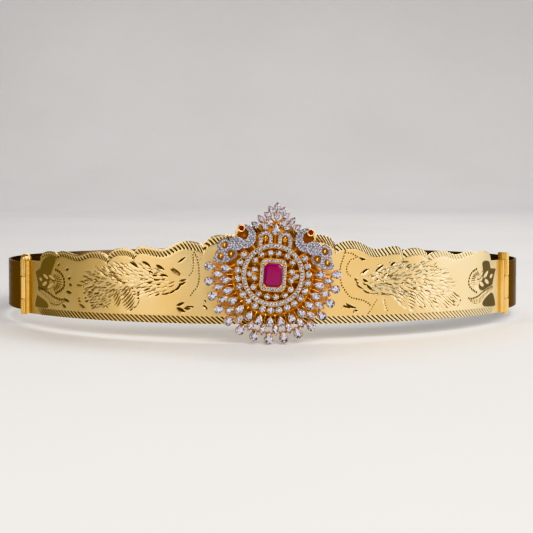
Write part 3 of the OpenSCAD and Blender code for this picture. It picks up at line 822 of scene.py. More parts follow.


# Each of the hatches fills an ellipse with cuts: its middle, half its width and height, the direction of
# the cuts in degrees from level, their distance, width, painted shade and bow
RIGHT_MOTIF = Motif(
    cuts=(
        (35.4, 25, 38, 24.2, 1.2, 1), (35.2, 18.5, 38.8, 21.3, 0.8, 0.5),
        (36.4, 18.4, 39.7, 20.8, 1, 0.9), (41.8, 19.5, 45.8, 22.4, 1.2, 0.9),
        (42.4, 21.7, 44.8, 22.5, 0.6, 0.5), (48.5, 21.5, 51, 23.2, 1.3, 1),
        (47.8, 22.7, 50.2, 23.5, 0.6, 0.3), (33.1, 17.3, 34.9, 16.4, 1, 1),
        (33.8, 15.9, 35.2, 15.2, 0.7, 0.9), (33.9, 15.2, 37, 13.1, 0.8, 0.9),
        (36.6, 16.9, 39, 15.7, 1.2, 1), (36.7, 15.4, 38.6, 14.6, 0.7, 0.9),
        (38.1, 14.8, 41.1, 12.2, 1.2, 1), (36.4, 13, 40.9, 11.1, 0.8, 0.9),
        (43, 19.5, 46, 18.7, 0.7, 0.4), (45.6, 18.1, 47.9, 19.1, 0.8, 0.8),
        (47, 17.5, 48.6, 18.1, 0.6, 0.8), (48, 17.1, 50, 17.9, 0.6, 0.4),
        (41.4, 14, 42.8, 14.4, 0.5, 0.7), (47.4, 14.3, 49.6, 14.6, 0.6, 0.7),
        (53.7, 14.2, 55.1, 14.9, 0.8, 0.8), (52.4, 13.4, 53.8, 13.8, 0.5, 0.6),
        (56, 20.5, 57.8, 20.8, 0.8, 0.9), (53, 23.1, 57.4, 23.3, 1, 0.3),
        (40, 17.6, 42, 17.9, 0.7, 0.35), (42, 17.5, 44.8, 16.5, 0.6, 0.35),
        (44, 16.3, 46.4, 15.5, 0.6, 0.3), (42.5, 13.6, 45.8, 13.4, 0.9, 0.2),
        (55.4, 15.6, 58.6, 13.6, 0.7, 0.45), (57, 13.3, 60.8, 12.2, 0.7, 0.6),
        (56, 16.9, 59.8, 16.3, 0.7, 0.5), (62, 22.4, 65.2, 23.2, 1, 0.3),
        (66.4, 21.3, 70.9, 20.3, 0.9, 0.55), (64.4, 20.1, 67, 19.2, 0.8, 0.5),
        (61.8, 19.6, 65, 19, 0.5, 0.4), (60.6, 18.2, 66, 17.6, 0.5, 0.35),
        (69, 18.8, 72.6, 19, 0.6, 0.3), (69.4, 17.4, 71.6, 17, 0.7, 0.4),
        (64.2, 16.6, 68.9, 14.6, 0.8, 0.65), (62.3, 14.6, 66.8, 13.8, 0.6, 0.6),
        (66.4, 13.8, 71.3, 13.2, 0.7, 0.55), (68.8, 12.5, 72, 11.8, 0.6, 0.5),
        (65.2, 11.8, 68, 10.9, 0.8, 0.9), (66.8, 10.3, 68.5, 9.8, 0.6, 0.7),
        (67, 9.1, 69.2, 8.3, 0.6, 0.6), (68.6, 8, 72, 6.5, 0.8, 0.9), (69.5, 9.9, 74.2, 8.3, 0.7, 0.45),
        (73.6, 17.9, 79.2, 18.4, 0.9, 0.5), (73.8, 17, 78.8, 17.4, 0.7, 0.3),
        (72.6, 14.8, 76.2, 15.4, 0.7, 0.45), (75.8, 15.6, 81.6, 15.3, 0.8, 0.5),
        (71.8, 13.6, 75.8, 13.3, 0.7, 0.35), (76.3, 14.2, 84.2, 13.8, 0.7, 0.5),
        (75.8, 13, 79.4, 12.5, 0.7, 0.35), (79.8, 12.9, 83.2, 12.3, 0.7, 0.35),
        (78.6, 11.7, 81.4, 11.8, 0.6, 0.3), (59, 13.1, 60.8, 12.6, 0.7, 0.9),
        (61.3, 10.9, 64.8, 8.1, 0.6, 0.6), (61.6, 5.7, 64.6, 4.3, 0.8, 0.8),
        (64.4, 5.6, 66, 5.2, 0.8, 0.9), (70.2, 5.2, 73.8, 4.4, 0.7, 0.4),
        (80.2, 7.9, 83, 5.9, 0.8, 0.8), (76.1, 5.3, 77.8, 3.8, 0.8, 0.8),
        (80.6, 5.8, 82.8, 4.9, 0.8, 0.8), (73.2, 10.2, 75.4, 9.2, 0.8, 0.6),
        (28.2, 6, 28.6, 5.6, 0.8, 0.5), (28.4, 6.9, 31.6, 5.7, 1, 1), (29.6, 7.8, 34.4, 5.8, 1.2, 1),
        (33, 5.1, 34.8, 4.6, 1, 1), (32.9, 5, 33.4, 3.6, 0.8, 0.5)),
    dots=(
        (((29.4, 27.8), (28.6, 25), (27.6, 22.6), (27.2, 20), (27.5, 17), (28, 14.6), (29.4, 12.4),
          (31, 10.4), (32.6, 9.5), (35, 9.1), (37.2, 8.5), (39, 7.4), (40, 6.4)), 0.85),
        (((42.6, 8.6), (41.4, 7), (40.2, 5), (39, 3.6)), 0.5),
        (((29.6, 27), (31.8, 26.8), (33.8, 25.8), (35.4, 25)), 0.7),
        (((33.8, 25), (31.8, 24.4), (30.6, 23), (29.9, 21.2), (30.2, 19.2), (31, 18.4), (31.8, 17.9)), 0.65),
        (((46, 8.4), (46.5, 6.4), (47.2, 4.4)), 0.5)),
    lines=(
        (((40.6, 11.2), (44, 10.7), (48, 10.7), (50.2, 10.1), (52.4, 9)), 0.7, 0.6),
        (((50.2, 9.8), (52, 7.8), (54, 5.9), (57, 4.7), (60.2, 3.7)), 1, 0.15),
        (((72.4, 10.2), (76, 10.8), (80, 10.4), (83, 9.2), (85.4, 7.6), (84.9, 5.6), (82.6, 4)), 0.8, 0.5),
        (((45.2, 9.4), (45.9, 6.4), (46.7, 3.8)), 0.5, 0.1)),
    hatches=(
        ((53.6, 9.6), (3.2, 3), -30, 1.15, 0.8, 0.35, 0),
        ((58.6, 8.8), (2.8, 4.6), -22, 1.15, 0.95, 0.5, 0),
        ((62.8, 9), (2.6, 3.4), -42, 1.1, 0.9, 0.4, 0),
        ((79.4, 6.9), (5.4, 3.3), -33, 1.1, 0.9, 0.55, 0)),
    leaves=(
        (97.5, 15, 101.9, 17.6), (102.1, 15.2, 106.4, 17.8), (107.6, 15.2, 110.6, 16),
        (103.2, 14.4, 106.8, 12.7), (98.8, 13.6, 102.4, 11.8)),
    matt_patches=(
        Region(((100.4, 22.2), (107.1, 22.2), (108.4, 19.6), (115, 18.9), (112.8, 15.9), (110.8, 12),
                (105, 10.8), (100.9, 9.6), (97.6, 11.2), (98.6, 13.4), (101, 14.2), (101.2, 15.4),
                (101.6, 18.4))),
        Region(((110.4, 9.4), (115, 3), (106.8, 3), (101.9, 3.4), (100.6, 5.1), (105.2, 7.8)))))
LEFT_MOTIF = Motif(
    cuts=(
        (56.3, 23.3, 52, 20.8, 1.2, 1), (50.9, 23.4, 46.6, 20.8, 1.2, 1),
        (44.7, 22.3, 40.8, 20.2, 1.3, 1), (38.7, 20.7, 34.4, 18, 1.4, 1),
        (37.9, 21.3, 34, 18.6, 0.8, 0.8), (35.7, 23.3, 32.1, 25.6, 1.1, 1),
        (48.1, 20, 45.7, 18.8, 0.9, 0.9), (45.8, 18.8, 43, 19.4, 0.6, 0.5),
        (46.3, 18.2, 43.9, 17.9, 0.8, 0.9), (43.2, 18.1, 39.3, 17.6, 1.1, 1),
        (45.7, 16.5, 43.1, 16.3, 0.8, 0.9), (42.7, 16.6, 40.3, 16.8, 0.5, 0.6),
        (52, 16.7, 49.4, 17.2, 0.5, 0.6), (50, 16.2, 47.4, 16.8, 0.5, 0.6),
        (48.9, 15.4, 45.9, 16.1, 0.8, 0.8), (44.7, 14.5, 42.5, 15, 0.7, 0.9),
        (52.2, 13.2, 49, 14, 0.6, 0.5), (50.3, 12.1, 46.8, 13.3, 0.8, 0.8),
        (46.1, 12.5, 44.9, 12.8, 0.6, 0.8), (45.2, 10.4, 42.8, 11.3, 0.8, 0.7),
        (42.6, 11.1, 38.4, 12, 0.8, 0.9), (39.3, 11.3, 36.3, 13, 1, 1), (37.5, 12.5, 34.4, 14.8, 1, 1),
        (36.1, 13.5, 33.4, 15.6, 0.9, 0.9), (35.5, 15, 32.1, 16.2, 1, 1),
        (35.1, 16.2, 31.7, 17, 0.9, 0.9), (39.5, 13.9, 36.6, 15.1, 0.6, 0.5),
        (39.7, 14.9, 36.3, 16.1, 0.6, 0.5), (41.6, 14, 39.8, 14.4, 0.5, 0.4),
        (36.3, 6.9, 32.8, 8.1, 1.3, 0.9), (36.3, 5.9, 32.4, 4.2, 1.5, 0.9),
        (33.2, 5.7, 30.1, 5.2, 1.2, 0.9), (32.6, 6.5, 28.4, 6.4, 0.7, 0.7),
        (25.4, 8.8, 24.3, 7.9, 0.9, 1), (25.7, 7.1, 23.7, 5.5, 0.9, 1), (90, 19.2, 88, 19.8, 1.1, 0.8),
        (88.7, 15.9, 86.7, 16.4, 1.1, 0.8), (88.2, 13.3, 86, 12.9, 1, 0.8),
        (89.8, 10.6, 86.1, 10, 1, 0.9), (91.5, 7, 87.4, 6.3, 0.9, 0.8), (92.4, 5.2, 89.6, 4, 0.9, 0.8),
        (95.4, 20.6, 93.6, 21.8, 0.9, 0.7), (71.2, 19.9, 66.5, 17.1, 0.9, 0.6),
        (66.3, 18.7, 62.3, 18.3, 0.8, 0.8), (64.9, 17.6, 61.3, 16.4, 0.8, 0.85),
        (62.3, 15.6, 59.3, 14.9, 0.9, 0.9), (61, 22.7, 58.3, 21.8, 0.7, 0.5),
        (62.2, 20.6, 58.8, 20.3, 0.7, 0.5), (67.2, 20.9, 65.2, 19.3, 0.8, 0.4),
        (63.6, 21.6, 61.6, 20.2, 0.7, 0.35), (77.7, 16.4, 73.9, 15.9, 0.7, 0.55),
        (74.2, 15.9, 71, 14.7, 0.8, 0.6), (74.8, 17.8, 73.2, 17.8, 1, 0.4),
        (81.8, 15, 77.7, 14.1, 0.7, 0.45), (83.8, 13.5, 79.6, 13.4, 0.7, 0.5),
        (80.2, 13.4, 79, 12.4, 0.7, 0.5), (79.2, 12.1, 77.4, 12.3, 0.6, 0.6),
        (77.6, 12.3, 73.1, 13.5, 0.8, 0.55), (72.1, 12.9, 70.1, 13.5, 0.7, 0.5),
        (69.9, 12.8, 67, 13, 0.7, 0.55), (67.8, 14, 65.6, 14.3, 0.7, 0.7),
        (64.9, 12.1, 63.5, 12.5, 0.8, 0.9), (79.9, 10.7, 77.9, 10.8, 0.8, 0.6),
        (77.4, 10.8, 74.4, 10.9, 0.9, 0.7), (73.5, 10.7, 70.7, 10.9, 0.9, 0.95),
        (79.1, 8.5, 77.5, 8.6, 0.7, 0.6), (78.9, 7.2, 76.3, 7.7, 0.8, 0.9),
        (76.5, 6.5, 73.3, 6.9, 0.7, 0.6), (76.1, 5.8, 73.3, 6.1, 0.8, 0.5),
        (71.5, 6, 68.7, 6.5, 0.8, 0.9), (82.3, 5.9, 78.1, 4.4, 1.1, 0.8),
        (82.7, 7, 80.7, 6.6, 0.8, 0.7), (82.9, 8.1, 81.3, 8.5, 0.7, 0.6),
        (73.9, 8.9, 72.5, 9.3, 0.6, 0.5), (68.9, 8.6, 67.5, 9, 0.6, 0.4),
        (68.6, 5.4, 66.4, 5, 0.8, 0.4), (53.1, 9.1, 51.9, 9.6, 0.7, 0.7),
        (53.2, 10.2, 51.7, 10.7, 0.7, 0.7), (53.1, 11.3, 51.8, 11.9, 0.7, 0.7),
        (53.5, 12.9, 51.7, 13.6, 0.7, 0.6)),
    dots=(
        (((29, 27.2), (27.8, 25.4), (27.2, 22), (27, 18), (27.3, 15.5), (28.2, 13.5), (29.6, 12.2),
          (30.6, 10.4)), 0.7),
        (((29.4, 26.4), (29.3, 22.5), (29.8, 19.6), (31.2, 18.2)), 0.6)),
    lines=((((52, 8.6), (53, 6.4), (55, 5), (57.2, 4.4)), 0.7, 0.5),),
    hatches=(
        ((57.4, 9), (3.8, 5.4), 44, 1.15, 0.9, 0.48, -0.06),
        ((62.4, 9), (2.2, 4), 58, 1.1, 0.85, 0.42, -0.06)),
    leaves=(
        (106.5, 16.6, 102.1, 15.1), (102.1, 16.5, 97.1, 14.8), (107.1, 12.1, 103.1, 13.7),
        (103.1, 11.1, 98, 13.5), (109.6, 14.8, 107, 14.2)),
    matt_patches=(
        Region(((96.2, 23.2), (97.4, 24.8), (101.8, 24.6), (106.6, 22.6), (109, 18.6), (113, 18),
                (111.6, 10), (107, 10.4), (103, 10.6), (101, 14), (99.6, 17.9), (98, 20.6))),
        Region(((113.6, 8.6), (115, 3.4), (107.2, 2.8), (101.6, 3.2), (102.6, 5.4), (107.7, 7.3)))))
MOTIFS = {Side.LEFT: LEFT_MOTIF, Side.RIGHT: RIGHT_MOTIF}

# What both ends share: the fan's arc, the ribbon's two edges, and where the plain leaf at the hinge starts,
# as heights and distances from the middle
FAN_ARC = ((96.4, 19), (93.9, 18.2), (92, 16.9), (90.9, 15.1), (90.8, 13.2), (91.6, 11.9), (93.6, 10.6),
           (96.4, 9.5))
RIBBON_TOP = ((90.6, 7.4), (92.8, 7), (95.2, 7.3), (98, 7.9), (101, 9.2), (105.2, 10.4), (110, 11.2))
RIBBON_LOW = ((90.6, 7.2), (92.4, 5.6), (95.2, 4.8), (98.2, 4.7), (101.6, 6), (105.4, 8.1), (110.4, 10.2))
LEAF_END = ((0, 108.6), (3, 113.6), (5.4, 112.9), (9, 110.8), (12.2, 110.4), (15.9, 112), (18.6, 113.8),
            (18.9, 108.4), (22, 107.4), (23, 125))

# The plate's upper edge: share of the half length, share of the height, and 1 on a lobe or 0 in a notch
EDGE = (
    (0.000, 1.000, 1), (0.090, 0.870, 0), (0.150, 0.885, 1), (0.209, 0.766, 0), (0.266, 0.821, 1),
    (0.349, 0.735, 1), (0.418, 0.761, 1), (0.445, 0.681, 0), (0.492, 0.740, 1), (0.548, 0.631, 0),
    (0.609, 0.704, 1), (0.679, 0.657, 1), (0.757, 0.691, 1), (0.784, 0.642, 0), (0.828, 0.683, 1),
    (0.888, 0.605, 0))
EDGE_STEPS = 12


def edge_table(half: float, high: float, tab: float) -> np.ndarray:
    """The plate's upper edge, as CAD has it, from the middle to the hinge.

    Args:
        half: Distance from the middle to the hinge.
        high: Height in the middle.
        tab: Height at the hinge.

    Returns:
        Distances from the middle and heights, one row each.
    """
    rows = (*EDGE, (0.898, tab / high, 1), (1.010, tab / high, 1))
    points: list[Point] = []
    for (x0, z0, lobe), (x1, z1, next_lobe) in zip(rows, rows[1:]):
        for t in np.linspace(0, 1, EDGE_STEPS, endpoint=False):
            q = t * math.pi / 2
            if lobe == next_lobe:
                across, up = t, (1 - math.cos(2 * q)) / 2
            elif lobe:
                across, up = math.sin(q), 1 - math.cos(q)
            else:
                across, up = 1 - math.cos(q), math.sin(q)
            points.append((x0 + (x1 - x0) * across, z0 + (z1 - z0) * up))
    return np.array(points) * (half, high)


@dataclass
class Graver:
    """A sheet of depths and of painted shade, highlight and matt patches, in plate coordinates, that tools
    cut into.
    """

    s: np.ndarray
    z: np.ndarray
    dot_gap: float = 1.05
    dot_radius: float = 0.36
    depth: np.ndarray = field(init=False)
    cut: np.ndarray = field(init=False)
    bright: np.ndarray = field(init=False)
    patch: np.ndarray = field(init=False)
    behind: np.ndarray = field(init=False)

    def __post_init__(self) -> None:
        """Starts with bare metal."""
        for name in ("depth", *PLATE_LAYERS):
            setattr(self, name, np.zeros_like(self.s))

    def window(self, low: float, high: float) -> slice:
        """The columns whose s lies between low and high."""
        line = self.s[:, 0]
        return slice(int(np.searchsorted(line, low)), int(np.searchsorted(line, high)))

    def stroke(self, a: Point, b: Point, width: float, deep: float, skew: float, dark: float,
               bend: float = 0.0, swell: float = 0.5) -> None:
        """One cut of the graver: a V groove, pointed at both ends, with painted shade on its steep side and
        a painted highlight on the other.

        Args:
            a: Where it starts.
            b: Where it ends.
            width: Its greatest width.
            deep: Its greatest depth.
            skew: How far its deepest line lies to the left, from -1 to 1.
            dark: How dark the painted shade on its steep side is.
            bend: How far its middle bows to the left, as a share of its length.
            swell: Where it is widest, as a share of its length.
        """
        d = np.subtract(b, a)
        length = float(np.hypot(*d)) or 1e-6
        d = d / length
        reach = width + abs(bend) * length
        w = self.window(min(a[0], b[0]) - reach, max(a[0], b[0]) + reach)
        if w.start >= w.stop:
            return
        x, y = self.s[w] - a[0], self.z[w] - a[1]
        t = np.clip((x * d[0] + y * d[1]) / length, -0.2, 1.2)
        off = -x * d[1] + y * d[0] - bend * length * 4 * t * (1 - t)
        inside = np.clip(t, 0, 1) ** (math.log(0.5) / math.log(swell))
        half = width / 2 * np.sin(math.pi * inside) ** 0.8 + 1e-9
        u = off / half
        side = np.where(u > skew, (1 - u) / (1 - skew), (1 + u) / (1 + skew))
        v = np.clip(side, 0, 1) * (half / (width / 2))
        steep = np.clip((u * (1 if skew >= 0 else -1) + 0.3) / 0.25, 0.1, 1)
        self.depth[w] = np.maximum(self.depth[w], deep * v)
        # painted shade on the steep side, and painted highlight over the cut
        self.cut[w] = np.maximum(self.cut[w] * (v < 0.1), dark * steep * np.clip(v * 3, 0, 1))
        self.bright[w] = np.maximum(self.bright[w], np.clip(v * 4, 0, 1))

    def curve(self, points: Sequence[Point], width: float, deep: float, dark: float) -> None:
        """A thin engraved line.

        Args:
            points: Its corners.
            width: Its width.
            deep: Its depth.
            dark: How dark the painted shade on its steep side is.
        """
        for a, b in zip(points, points[1:]):
            d = np.subtract(b, a) * 0.12
            self.stroke(tuple(np.subtract(a, d)), tuple(np.add(b, d)), width, deep, 0.2, dark)

    def dot(self, x: float, z: float, radius: float, dark: float) -> None:
        """A punched dot, with painted shade in its hollow.

        Args:
            x: Its middle along the sheet.
            z: Its middle's height.
            radius: Its radius.
            dark: How dark its painted shade is.
        """
        w = self.window(x - radius * 2, x + radius * 2)
        ball = np.clip(1 - ((self.s[w] - x) ** 2 + (self.z[w] - z) ** 2) / radius ** 2, 0, 1)
        self.depth[w] = np.maximum(self.depth[w], 0.13 * ball)
        self.cut[w] = np.maximum(self.cut[w], dark * np.clip(ball * 2.5, 0, 1))

    def dots(self, points: Sequence[Point], dark: float) -> None:
        """A row of punched dots.

        Args:
            points: Corners of the row.
            dark: How dark their painted shade is.
        """
        line = np.array(points, float)
        for x, z in walk(line, np.arange(0, lengths(line)[-1] + self.dot_gap / 2, self.dot_gap)):
            self.dot(x, z, self.dot_radius, dark)

    def flutes(self, share: np.ndarray, phase: np.ndarray, deep: float, dark: np.ndarray) -> None:
        """A band of slanting flutes, with painted shade on their steep sides and painted highlight over the
        band.

        Args:
            share: 0 outside the band and up to 1 inside it, over the sheet.
            phase: Counts the flutes.
            deep: Their depth.
            dark: How dark the painted shade on their steep sides is.
        """
        rise, fall = 0.42, 0.58
        u = phase - np.floor(phase)
        v = np.where(u < rise, u / rise, (1 - u) / fall)
        steep = np.clip((0.25 - np.abs(u - 0.25)) / 0.12, 0, 1)
        self.depth[:] = np.maximum(self.depth, deep * v * share)
        self.cut[:] = np.maximum(self.cut, dark * steep * np.clip(share * 1.6, 0, 1))
        self.bright[:] = np.maximum(self.bright, np.clip(share * 2, 0, 1))

    def leaf(self, a: Point, b: Point) -> None:
        """A plain leaf that is cut out of a matt patch, with a painted highlight inside it and a dark lip
        round it: an engraved outline with painted shadow, darker on one side.

        Args:
            a: One end.
            b: The other end.
        """
        w = self.window(min(a[0], b[0]) - 1, max(a[0], b[0]) + 1)
        way = np.subtract(b, a) / math.dist(a, b)
        x, z = self.s[w] - (a[0] + b[0]) / 2, self.z[w] - (a[1] + b[1]) / 2
        along, off = x * way[0] + z * way[1], -x * way[1] + z * way[0]
        leaf = 1 - (along / (math.dist(a, b) / 2)) ** 2 - (off / 0.85) ** 2
        inside = np.clip(leaf / 0.3, 0, 1)
        # the lip: an engraved outline with painted shadow, darker on one side
        lip = np.clip(1 - np.abs(leaf + 0.25) / 0.5, 0, 1) * np.where(off < 0, 0.9, 0.55)
        hollow = 0.1 + 0.2 * np.clip(0.5 - off / 1.4, 0, 1)
        self.patch[w] *= 1 - inside
        self.cut[w] = np.maximum(self.cut[w] * (1 - inside), lip)
        self.depth[w] = np.where(inside > 0, hollow, self.depth[w])
        self.bright[w] = np.maximum(self.bright[w], inside)


@dataclass(frozen=True)
class Border:
    """A fluted border. Its tables hold places along the plate and values there."""

    pitch: Table
    ends: Table
    # strength of the painted shade on the flutes' steep sides, along the plate
    dark: Table
    slant: float
    soft: float
    deep: float

    def count(self, at: np.ndarray) -> np.ndarray:
        """The number of flutes, with fractions, from the plate's left end to each place."""
        line = np.linspace(-130, 130, 5201)
        return np.interp(at, line, np.cumsum((line[1] - line[0]) / follow(line, self.pitch)))

    def engrave(self, g: Graver, inside: np.ndarray, away: np.ndarray, left: np.ndarray | float) -> None:
        """Cuts the border.

        Args:
            g: The sheet.
            inside: How far each point lies inside the border.
            away: How far it lies from the plate's edge.
            left: What wear has left of the flutes.
        """
        share = np.clip(inside / self.soft, 0, 1) * follow(g.s, self.ends)
        phase = self.count(g.s + self.slant * away)
        g.flutes(share * left, phase, self.deep, follow(g.s, self.dark) * left)


@dataclass
class FrontPlate:
    """The engraved front plate, in two halves, with its hinge tubes and rods."""

    half: float = 121.8
    end: float = 119.95
    high: float = 38.5
    tab: float = 22.0
    tube: float = 1.5
    rod: float = 1.0
    bore: float = 0.9
    proud: float = 1.0
    tube_low: float = 5.94
    tube_high: float = 15.18
    gap: float = 0.25
    soft: float = 0.14
    sides: int = 40
    columns: int = 620
    rows: int = 116
    leaf_sunk: float = 0.34
    leaf_from: float = 90.0
    pendant_shade_at: Point = (1.0, 19.1)        # painted shade and painted reflection of the pendant's gold on the plate behind it
    pendant_shade_reach: float = 18.2
    pendant_shade_soft: float = 1.6
    worn: Table = ((54, 1), (62, 0.65), (84, 0.65), (88, 1))        # strength of the large strokes' painted shade, along the plate
    down_low: Table = ((39, 13), (48, 11), (61, 11), (65, 6.2), (72, 5.8), (76, 11))
    down_high: Table = ((39, 18.5), (50, 22), (66, 21.5), (76, 18.5))
    down_width: Point = (0.8, 1.2)
    down_length: Point = (2.2, 4.2)
    down_dark: Point = (0.15, 0.48)
    top_width: Table = ((0, 3.5), (60, 3.1), (95, 2.2), (108, 1.6))
    low_width: float = 2.9
    top_border: Border = Border(
        ((-80, 1.6), (-60, 1.2), (-40, 1.44), (20, 1.3), (33, 1.2), (40, 1.2), (44, 1.56), (60, 1.53),
         (84, 1.75)),
        ((-110, 0), (-104, 1), (93, 1), (96, 0)),
        ((-100, 0.8), (-60, 0.9), (-40, 1), (0, 1), (58, 1), (66, 0.75), (100, 0.75)), -0.75, 0.45, 0.2)
    low_border: Border = Border(
        ((-100, 1.9), (-80, 2.08), (-50, 2.05), (-40, 1.95), (30, 1.95), (46, 2.1), (76, 1.96)),
        ((-112, 0), (-106, 1), (104, 1), (112, 0.1)),
        ((-100, 0.85), (-88, 0.85), (-80, 0.88), (-60, 0.94), (-40, 1), (0, 1), (48, 1), (58, 0.88),
         (80, 0.86), (105, 0.92)), 1.3, 0.4, 0.24)
    edge: np.ndarray = field(init=False)

    def __post_init__(self) -> None:
        """Works out the upper edge."""
        self.edge = edge_table(self.half, self.high, self.tab)

    def top(self, s: np.ndarray) -> np.ndarray:
        """Height of the upper edge at a distance s from the middle."""
        return np.interp(np.abs(s), self.edge[:, 0], self.edge[:, 1])

    def borders(self, g: Graver) -> None:
        """Cuts the fluted borders along both edges, and a fine rim under the upper one.

        Args:
            g: The sheet.
        """
        away = self.top(g.s) - g.z
        width = follow(np.abs(g.s), self.top_width)
        worn = np.where(g.s < 0, np.clip((away - 0.7) / 0.5, 0.35, 1), 1.0)
        self.top_border.engrave(g, width - away, away, worn)
        self.low_border.engrave(g, self.low_width - g.z, g.z, 1.0)
        rim = np.clip(1 - np.abs(away - width) / 0.16, 0, 1)
        g.depth[:] = np.maximum(g.depth, 0.06 * rim)

    def charted(self, g: Graver, side: Side) -> None:
        """Cuts the large strokes of one half.

        Args:
            g: The sheet.
            side: The half.
        """
        for k, (x0, z0, x1, z1, width, dark) in enumerate(MOTIFS[side].cuts):
            dark *= float(follow(x0, self.worn))
            steep = 0.35 if z1 > z0 else -0.35
            g.stroke((side * x0, z0), (side * x1, z1), width * 1.4, 0.14 + 0.16 * dark, steep * side,
                     min(1.0, 0.12 + dark), bend=0.05 * side * (-1) ** k, swell=0.45)

    def down(self, g: Graver, side: Side) -> None:
        """Cuts the fine faint lines between the feathers.

        Args:
            g: The sheet.
            side: The half.
        """
        rng = np.random.default_rng(SEED + side)
        deep = 0.17 if side is Side.RIGHT else 0.11
        for x in np.arange(39.5, 77, 1.9):
            for z in np.arange(follow(x, self.down_low), follow(x, self.down_high), 1.3):
                x0, z0 = x + rng.uniform(-0.9, 0.9), z + rng.uniform(-0.4, 0.4)
                lean = np.interp(z0, [7, 11, 15, 16.5, 20], [-30 - 12 * side, -28, -14, 12, 30])
                lean = math.radians(lean + rng.uniform(-8, 8))
                length = rng.uniform(*self.down_length)
                tip = (side * (x0 + length * math.cos(lean)), z0 + length * math.sin(lean))
                g.stroke((side * x0, z0), tip, rng.uniform(*self.down_width), deep, 0.3 * side,
                         rng.uniform(*self.down_dark))

    def hatch(self, g: Graver, middle: Point, size: Point, lean: float, gap: float, width: float,
              dark: float, bend: float) -> None:
        """Parallel cuts that fill an ellipse.

        Args:
            g: The sheet.
            middle: Its middle.
            size: Half its width and half its height.
            lean: Direction of the cuts in degrees from level.
            gap: Distance between cuts.
            width: Width of each cut.
            dark: How dark their painted shade is.
            bend: How far each bows.
        """
        d = np.array([math.cos(math.radians(lean)), math.sin(math.radians(lean))])
        n = np.array([-d[1], d[0]])
        reach = max(size)
        for q in np.arange(-reach, reach, gap):
            spots = np.outer(np.linspace(-reach, reach, 60), d) + q * n
            inside = (spots[:, 0] / size[0]) ** 2 + (spots[:, 1] / size[1]) ** 2 < 1
            if inside.sum() > 3:
                ends = spots[inside] + middle
                g.stroke(tuple(ends[0]), tuple(ends[-1]), width, 0.18, 0.4, dark, bend=bend)

    def motif(self, g: Graver, side: Side) -> None:
        """Engraves one half.

        Args:
            g: The sheet.
            side: The half.
        """
        chart = MOTIFS[side]
        self.down(g, side)
        for line, dark in chart.dots:
            g.dots([(side * x, z) for x, z in line], dark)
        for line, width, dark in chart.lines:
            g.curve([(side * x, z) for x, z in line], width, 0.2, dark)
        for (x, z), *cuts in chart.hatches:
            self.hatch(g, (side * x, z), *cuts)
        self.charted(g, side)
        self.fan(g, side)
        for x0, z0, x1, z1 in chart.leaves:
            g.leaf((side * x0, z0), (side * x1, z1))
        self.ribbon(g, side)

    def fan(self, g: Graver, side: Side) -> None:
        """Engraves the fan of dots and rays near a hinge.

        Args:
            g: The sheet.
            side: The half.
        """
        heart = np.array([side * 100.2, 14.4])
        for p in spread(FAN_ARC, 13) * (side, 1):
            g.dot(*p, 0.6, 0.9)
            way = heart - p
            g.stroke(tuple(p + way * 0.08), tuple(p + way * 0.62), 0.7, 0.2, 0.1, 0.6)

    def ribbon(self, g: Graver, side: Side) -> None:
        """Engraves the ribbon of short strokes near a hinge.

        Args:
            g: The sheet.
            side: The half.
        """
        top, low = (spread(line, 18) * (side, 1) for line in (RIBBON_TOP, RIBBON_LOW))
        for p, q in zip(top, low):
            g.dot(*p, 0.52, 0.9)
            g.stroke(tuple(p + (q - p) * 0.1), tuple(q), 0.7, 0.18, 0.1, 0.6)
        g.curve([tuple(q) for q in low[:12:3]], 0.6, 0.14, 0.6)

    def matt_patches(self, g: Graver, side: Side) -> None:
        """Darkens the matt patches behind the end leaves with painted shade and pits them, and sinks the
        plain leaf at the hinge.

        Args:
            g: The sheet.
            side: The half.
        """
        x = side * g.s
        fine = 0.5 + 0.5 * np.sin((g.s + g.z) * 9) * np.sin((g.s - g.z) * 8)
        for region in MOTIFS[side].matt_patches:
            # the patches' dark colour is painted shade over their matt ground
            matt_shade = np.clip(region.depth(x, g.z) / 0.4 + 0.5, 0, 1)
            pitted = np.maximum(g.depth * (1 - matt_shade), matt_shade * (0.06 + 0.05 * fine))
            g.patch[:] = np.maximum(g.patch, matt_shade * (0.82 + 0.18 * fine))
            g.depth[:] = np.where(matt_shade > 0, pitted, g.depth)
            g.cut[:] *= 1 - matt_shade
        end = follow(g.z, LEAF_END)
        sunk = np.where(x > self.leaf_from, np.clip((x - end) / 0.18 + 0.5, 0, 1), 0.0)
        g.depth[:] = g.depth * (1 - sunk) + self.leaf_sunk * sunk
        for sheet in (g.cut, g.bright, g.patch):
            sheet[:] *= 1 - sunk
        # painted shade along the step down to the plain leaf
        lip = np.where(x > self.leaf_from, np.clip(1 - np.abs(x - end - 0.12) / 0.22, 0, 1), 0.0)
        g.cut[:] = np.maximum(g.cut, 0.6 * lip)

    def engrave(self, side: Side, line: np.ndarray) -> Graver:
        """Engraves one half of the plate.

        Args:
            side: The half.
            line: Places of the sheet's columns.

        Returns:
            The engraved sheet.
        """
        s = np.repeat(line[:, None], self.rows, axis=1)
        z = np.linspace(0, 1, self.rows)[None, :] * self.top(s)
        g = Graver(s, z)
        self.borders(g)
        self.matt_patches(g, side)
        self.motif(g, side)
        # painted shade and reflection of the pendant on the plate behind it
        far = np.hypot(s - self.pendant_shade_at[0], z - self.pendant_shade_at[1])
        g.behind[:] = np.clip((self.pendant_shade_reach - far) / self.pendant_shade_soft, 0, 1)
        rim = np.minimum(z, self.top(s) - z)
        g.depth = np.maximum(g.depth, 0.14 * np.clip(1 - rim / 0.25, 0, 1) ** 2)
        return g

